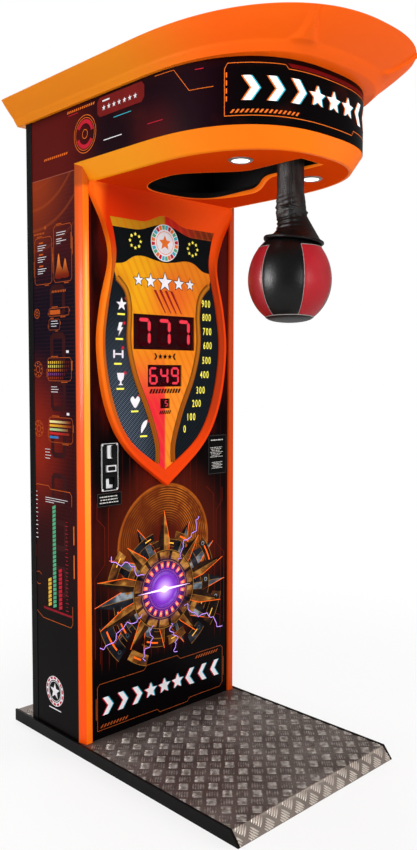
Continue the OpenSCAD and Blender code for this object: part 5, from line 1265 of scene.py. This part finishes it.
print_nose("nose_frame", [ribbon(nose_edge, 0.0018)] + slants(-0.312, 1.8835, 15, 0.0125, 0.006, 0.009, 0.8)
           + [box(s*0.325, 1.955 - 0.02*i, 0.0036, 0.013) for s in (-1, 1) for i in range(-1, 3)], orange_ink)
print_nose("nose_bar", [[(-0.165, 2.008), (-0.153, 1.998), (0.193, 1.998), (0.205, 2.008)]],
           ink_finish("deep_red_ink", (110, 14, 14)), 2)
title(print_nose, "nose_title", title_forms(0, 1.941, 0.062, 9, 0.066), 0.0045, "_orange", orange_ink,
      ink_finish("bright_white_ink", (246, 246, 248), 0.3), 2)

# ROOF. One laminated shell: a wide flared fascia with a lip at its foot, two wedge-shaped ribs on
# its front, a rounded upper edge and a low crown.
fascia_h, roof_z, crown_h, roof_y, roof_rear = 0.076, 2.096, 0.014, -0.165, 0.478


def with_sides(line):
    """The outline with points along its straight sides as well, so that the sides have columns."""
    line = [Vector(p) for p in line]
    left = [line[0].lerp(line[1], i/24) for i in range(24)]
    return left + line[1:-1] + [line[-2].lerp(line[-1], i/24) for i in range(1, 25)]


def fascia_profile(f):
    """Height above the foot for the share f of the way from the upper edge in to the foot."""
    stops = ((0, 0.96), (0.25, 0.71), (0.5, 0.49), (0.77, 0.27), (0.8, 0.215), (0.88, 0.13), (1, 0))
    for (f0, h0), (f1, h1) in zip(stops, stops[1:]):
        if f <= f1:
            return h0 + (h1 - h0)*(f - f0)/(f1 - f0)
    return 0


def wedge(x, y, f):
    """How far a rib stands out here: narrow at the upper edge, wide at the fold, none on the sides."""
    if y >= -0.2:
        return 0
    t = min(1, f/0.82)
    off_rib = abs(abs(x) - (0.222 - 0.05*t))/(0.01 + 0.034*t**3)
    return smoothstep(1.25 - off_rib)*(1 - smoothstep((f - 0.72)/0.1))


foot_line = with_sides(nose_line(0.35, 0.453, 2.55, nose_y, roof_rear, 150))
edge_line = with_sides(nose_line(0.408, 0.555, 2.42, roof_y, roof_rear, 150))
roof_rows = []
for share, up in ((0.0, 1), (0.3, 0.99), (0.55, 0.93), (0.75, 0.8), (0.88, 0.62), (0.95, 0.42), (0.985, 0.16),
                  (0.996, -0.02)):
    roof_rows.append([(p.x*share, roof_y + (p.y - roof_y)*share, roof_z + up*crown_h) for p in edge_line])
for f in (i/30 for i in range(31)):
    line = []
    for p, q in zip(edge_line, foot_line):
        spot = p.lerp(q, f)
        rib = wedge(spot.x, spot.y, f)
        spot += (p - q).normalized()*0.011*rib
        line.append((spot.x, spot.y, head_top + fascia_profile(f)*fascia_h - 0.004*rib))
    roof_rows.append(line)
inner_foot = with_sides(nose_line(0.322, 0.394, 2.55, nose_y, 0.422, 150))
roof_rows += [raised(inner_foot, head_top), raised(inner_foot, head_top + 0.012)]
roof = grid_mesh("roof", roof_rows)
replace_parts(settle(roof, "roof_skin", shell_orange, "orange_shell", smooth=38), "roof_shell")

# LAMPS. Two recessed lamps light the ball from the underside: grey rings round frosted glass.
ring_grey = mottled("satin_grey_ring", (60, 2), (120, 116, 112), (150, 146, 142), 0.35, metal=0.6)
paint(ring_grey, "lamp_bezels")
lamp = Finish("lamp_glass")
paint(lamp.done(colour=(250, 250, 248), rough=0.4, glow=1.7,
                light=lamp.mix(lamp.noise(80, 1)*0.2, (255, 252, 246), (230, 236, 255))), "lamp_glasses")


def on_lamp(u, v, lift=0):
    return Vector((u, v, soffit_z - 0.0031 - lift))


ink("lamp_rims", many(ring(lamp_x*s, lamp_y, 0.0312, 0.0042) for s in (-1, 1)), ring_grey, 1, [on_lamp],
    "dark_trim")

# BAG. A sewn leather sleeve covers the arm. Its lower end is gathered over a skirt with a rolled hem,
# and the ball below is sewn from six gores, black and red in turn, with piping in the seams.
pivot_y, ball_z, ball_r, ball_rise, ball_drop = -0.4, 1.478, 0.12, 0.137, 0.128
aside = radians(-44)
hide = Finish("black_leather")
creases = hide.noise(42, 5, (1, 1, 0.45))
black_leather = hide.done(
    (creases*1.4 + 0.25*hide.pores(420), 0.003, 0.8), rough=0.36 + 0.2*creases, gloss=0.28,
    colour=hide.mix(creases.rise(0.35, 0.7), (11, 10, 10), (38, 34, 32)))
skirt_hide = Finish("brown_black_leather")
skirt_grain = skirt_hide.noise(30, 4)
skirt_leather = skirt_hide.done((skirt_hide.pores(500) + skirt_grain, 0.0008, 0.35), rough=0.4, gloss=0.18,
                                colour=skirt_hide.mix(skirt_grain, (6, 4, 4), (22, 13, 11)))
gored = Finish("gore_leather")
turn = gored.add("Math", {"operation": "ARCTAN2"}, [gored.y - pivot_y, gored.x])
haze = gored.noise(16, 4)
gore_leather = gored.done(
    (gored.pores(380) + 2*haze, 0.0006, 0.4), rough=0.24 + 0.22*haze, gloss=0.2,
    colour=gored.mix((((turn/pi + 2)*3 % 2) > 1).larger(gored.z > 1.568),
                     gored.mix(haze, (144, 14, 24), (176, 30, 40)), gored.mix(haze, (3, 3, 3), (12, 11, 11))))
piping = mottled("pale_piping", (200, 2), (104, 96, 94), (172, 162, 158), 0.5, (500, 1, 0.0003, 0.4))


def low_edge(a):
    """Where the gores end below, in degrees down from the middle; the ball hangs a little askew."""
    return -55.8 + 3.2*cos(a - radians(220))


def on_ball(a, up, r):
    """The point of the ball's outside at this angle round and up from its middle."""
    return (r*cos(a), pivot_y + r*sin(a), ball_z + (ball_rise if up > 0 else ball_drop)*sin(up))


def capped(piece):
    """Closes the open ends of a skin."""
    with editing(piece):
        bpy.ops.mesh.select_all(action="DESELECT")
        bpy.ops.mesh.select_non_manifold()
        bpy.ops.mesh.fill()
        bpy.ops.mesh.select_all(action="SELECT")
        bpy.ops.mesh.normals_make_consistent(inside=False)
    return piece


def sewn(piece, name, material, slot, smooth, stands_for):
    """Settles a leather piece of the bag in place of its CAD solid."""
    settle(piece, name, material, slot, "bag_arm", smooth)
    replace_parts(piece, stands_for)


ball_rows = []
for i in range(49):
    line = []
    for degree in range(0, 360, 2):
        a = radians(degree)
        up = radians(low_edge(a) + (88 - low_edge(a))*i/48)
        near_seam = abs((degree + 30) % 60 - 30)
        r = ball_r*cos(up)*(1 + 0.012*(1 - (near_seam/30 - 1)**2) - 0.012)
        line.append(on_ball(a, up, r - 0.0014*max(0, 1 - near_seam/3)))
    ball_rows.append(line)
ball = capped(grid_mesh("ball", ball_rows[::-1]))
sewn(ball, "sewn_ball", gore_leather, "red_black_leather", 60, "bag_ball")


def tube_along(points, r, sides=8, shut=False):
    """A round cord of leather through the points."""
    rounds, n = [], len(points)
    for i, p in enumerate(points):
        after, before = (i + 1) % n if shut else min(i + 1, n - 1), i - 1 if shut else max(i - 1, 0)
        way = (Vector(points[after]) - Vector(points[before])).normalized()
        flat = way.cross(Vector((0, 0, 1)))
        flat = Vector((1, 0, 0)) if flat.length < 1e-3 else flat.normalized()
        other = way.cross(flat)
        turns = [2*pi*k/sides for k in range(sides)]
        rounds.append([Vector(p) + r*(cos(a)*flat + sin(a)*other) for a in turns])
    return grid_mesh("tube", rounds, loop_rows=shut)


def girth(up_of, degree):
    """A point of the ball's outside, at the height that up_of gives for its side."""
    a = radians(degree)
    up = radians(up_of(a))
    return Vector(on_ball(a, up, ball_r*cos(up)))


seams = []
for a in (radians(60*k) for k in range(6)):
    ups = [radians(low_edge(a) + 0.5 + (40.6 - low_edge(a))*i/30) for i in range(31)]
    seams.append(tube_along([on_ball(a, up, ball_r*cos(up)*0.988 - 0.0004) for up in ups], 0.0008, 6))
foot_ring = [girth(low_edge, 5*k) for k in range(72)]
seams.append(tube_along(foot_ring, 0.0014, 6, True))
for start in (0, 120, 240):
    seams.append(tube_along([girth(lambda a: 41.1, start + 5*k) for k in range(13)], 0.001, 6))
gather(seams, "ball_piping", piping, "red_black_leather", "bag_arm")
foot = Vector((0, pivot_y, 1.3722))
dome_rows = [[foot + 0.99*cos(a)*(p - foot) - Vector((0, 0, 0.0135*sin(a))) for p in foot_ring]
             for a in (radians(9*i) for i in range(11))]
dome = capped(grid_mesh("dome", dome_rows))
sewn(dome, "ball_foot", skirt_leather, "black_leather", 50, "bag_base")


def section(a, w, d, n=3.2):
    """A rounded rectangle as a radius for the direction a."""
    return 1/((abs(cos(a))/(w/2))**n + (abs(sin(a))/(d/2))**n)**(1/n)


def wrapped(name, count, top, drop, radius, shift):
    """A leather skin round the arm, from its top down: the fall of each line, its radius and how far it
    leans aside are functions of the share t of the height and of the direction a."""
    lines = []
    for t in (i/(count - 1) for i in range(count)):
        lean = [shift(t)*way for way in (cos(aside), sin(aside))]
        spots = [(a, radius(a, t)) for a in (radians(3*k) for k in range(120))]
        lines.append([(r*cos(a) + lean[0], pivot_y + r*sin(a) + lean[1], top - drop(a, t)) for a, r in spots])
    piece = grid_mesh(name, lines)
    apply(piece, "SOLIDIFY", thickness=0.003, offset=-1)
    return piece, lines


def sleeve_radius(a, t):
    """Soft upright creases, folds that gather on one side near the lower end, and the sewn edge."""
    low = smoothstep((t - 0.5)/0.4)
    crowd = low*(0.35 + 0.65*smoothstep(0.5 + 0.7*cos(a - radians(150))))
    r = section(a, 0.076 + 0.006*low, 0.06 + 0.012*low)
    r += 0.0011*sin(3*a + 2*t) + 0.0007*sin(7*a - 5*t) + 0.0009*t*sin(21*t + 2.6*sin(a + 0.8))
    r += 0.0011*crowd*sin(58*t + 4*a + 2*sin(9*t))
    r += 0.0036*smoothstep(1 - abs(t - 0.87 - 0.04*sin(a + 2))/0.03)
    return r - 0.002*smoothstep(1 - abs(a - radians(222) - 0.05*sin(6*t))/0.05)


def skirt_radius(a, t):
    """One side hangs nearly straight and in folds before it flares, the other is a smooth cone."""
    hang = 0.5 + 0.5*cos(a - radians(136))
    upper = section(a, 0.079, 0.07)
    r = upper + (0.082 - upper)*t**(1 + 3.4*hang)
    return r + 0.0026*sin(34*t + 3*a)*hang*(1 - t)*smoothstep(t*6) + 0.0014*sin(8*a + 5*t)*hang*t


sleeve, _ = wrapped("sleeve", 71, 1.816, lambda a, t: 0.162*t, sleeve_radius, lambda t: 0.004*t)
sewn(sleeve, "leather_sleeve", black_leather, "black_leather", 60, "bag_sleeve")
skirt, skirt_lines = wrapped("skirt", 49, 1.662, lambda a, t: 0.073*t - 0.0085*t*cos(a - radians(136)),
                             skirt_radius, lambda t: 0.004 + 0.006*t)
take(skirt, tube_along(skirt_lines[-1], 0.0048, 10, True))
bpy.ops.object.join()
sewn(skirt, "leather_skirt", skirt_leather, "black_leather", 60, "bag_skirt")

# STAGE. A pale floor and backdrop, soft studio light, and the camera at the photograph's place.
clear()
bpy.ops.mesh.primitive_plane_add(size=24, location=(0, 0, 0))
floor = bpy.context.active_object
floor.name = "studio_floor"
paper = Finish("studio_paper")
paper.done(colour=paper.mix(paper.noise(3, 2)*0.04, (240, 240, 240), (228, 228, 228)), rough=0.9)
shine = paper.add("Emission", None, {"Color": (1, 1, 1, 1), "Strength": 1.0})
reach = paper.away(paper.x, paper.y, 0, 0).rise(0.8, 2.2)
matt = Value(paper, paper.tree.nodes["Principled BSDF"].outputs[0])
blend = paper.add("MixShader", None, {0: paper.add("LightPath")*(0.7 + 0.3*reach), 1: matt, 2: shine})
paper.join(paper.tree.nodes["Material Output"].inputs[0], blend)
floor.data.materials.append(paper.material)

# white air: as bright as paper to the camera, dimmer as a light, dimmer still in reflections
world = bpy.data.worlds.new("studio")
scene.world = world
world.use_nodes = True
air = Nodes(world.node_tree)
paths = air.add("LightPath").socket.node.outputs
camera_ray, glossy_ray, clear_ray = (Value(air, paths["Is %s Ray" % kind])
                                     for kind in ("Camera", "Glossy", "Transmission"))
straight = air.add("Math", {"operation": "ADD", "use_clamp": True}, [camera_ray, clear_ray])
lighting = air.add("MapRange", None, {0: glossy_ray, "To Min": 0.5, "To Max": 0.3})
sky = air.tree.nodes["Background"].inputs
air.join(sky["Strength"], air.add("MapRange", None, {0: straight, "To Min": lighting, "To Max": 1.0}))
sky["Color"].default_value = (1, 1, 1, 1)

# soft boxes: the key and fill lights give no gloss, and the two small strips give nothing else
middle, bag_middle = (0, -0.1, 1.2), (0, -0.4, 1.5)
for name, place, power, size, aim in (("key_light", (-2.6, -3.0, 3.2), 125, 2.0, middle),
                                      ("fill_light", (2.8, -2.6, 2.2), 50, 2.4, middle),
                                      ("rear_light", (0.4, 3.2, 2.6), 60, 2.4, (0, 0.3, 1.2)),
                                      ("left_strip", (-2.78, 0.72, 1.6), 150, 1.1, bag_middle),
                                      ("right_strip", (-0.42, -3.37, 1.6), 40, 1.0, bag_middle)):
    area = bpy.data.lights.new(name, "AREA")
    area.energy, area.size = power, size
    light = added(name, area)
    light.location = place
    light.rotation_euler = (Vector(aim) - Vector(place)).to_track_quat("-Z", "Y").to_euler()
    light.visible_diffuse = name not in ("left_strip", "right_strip")
    light.visible_glossy = name not in ("key_light", "fill_light")

view = bpy.data.cameras.new("view")
view.lens, view.sensor_width = 34.36, 36
camera = added("view", view)
camera.matrix_world = (Matrix.Translation((-1.7964, -1.9198, 1.2124))
                       @ Matrix.Rotation(radians(-44.1217), 4, "Z")
                       @ Matrix.Rotation(radians(90 - 3.6512), 4, "X")
                       @ Matrix.Rotation(radians(0.107), 4, "Z"))
scene.camera = camera
scene.view_settings.view_transform = "Standard"
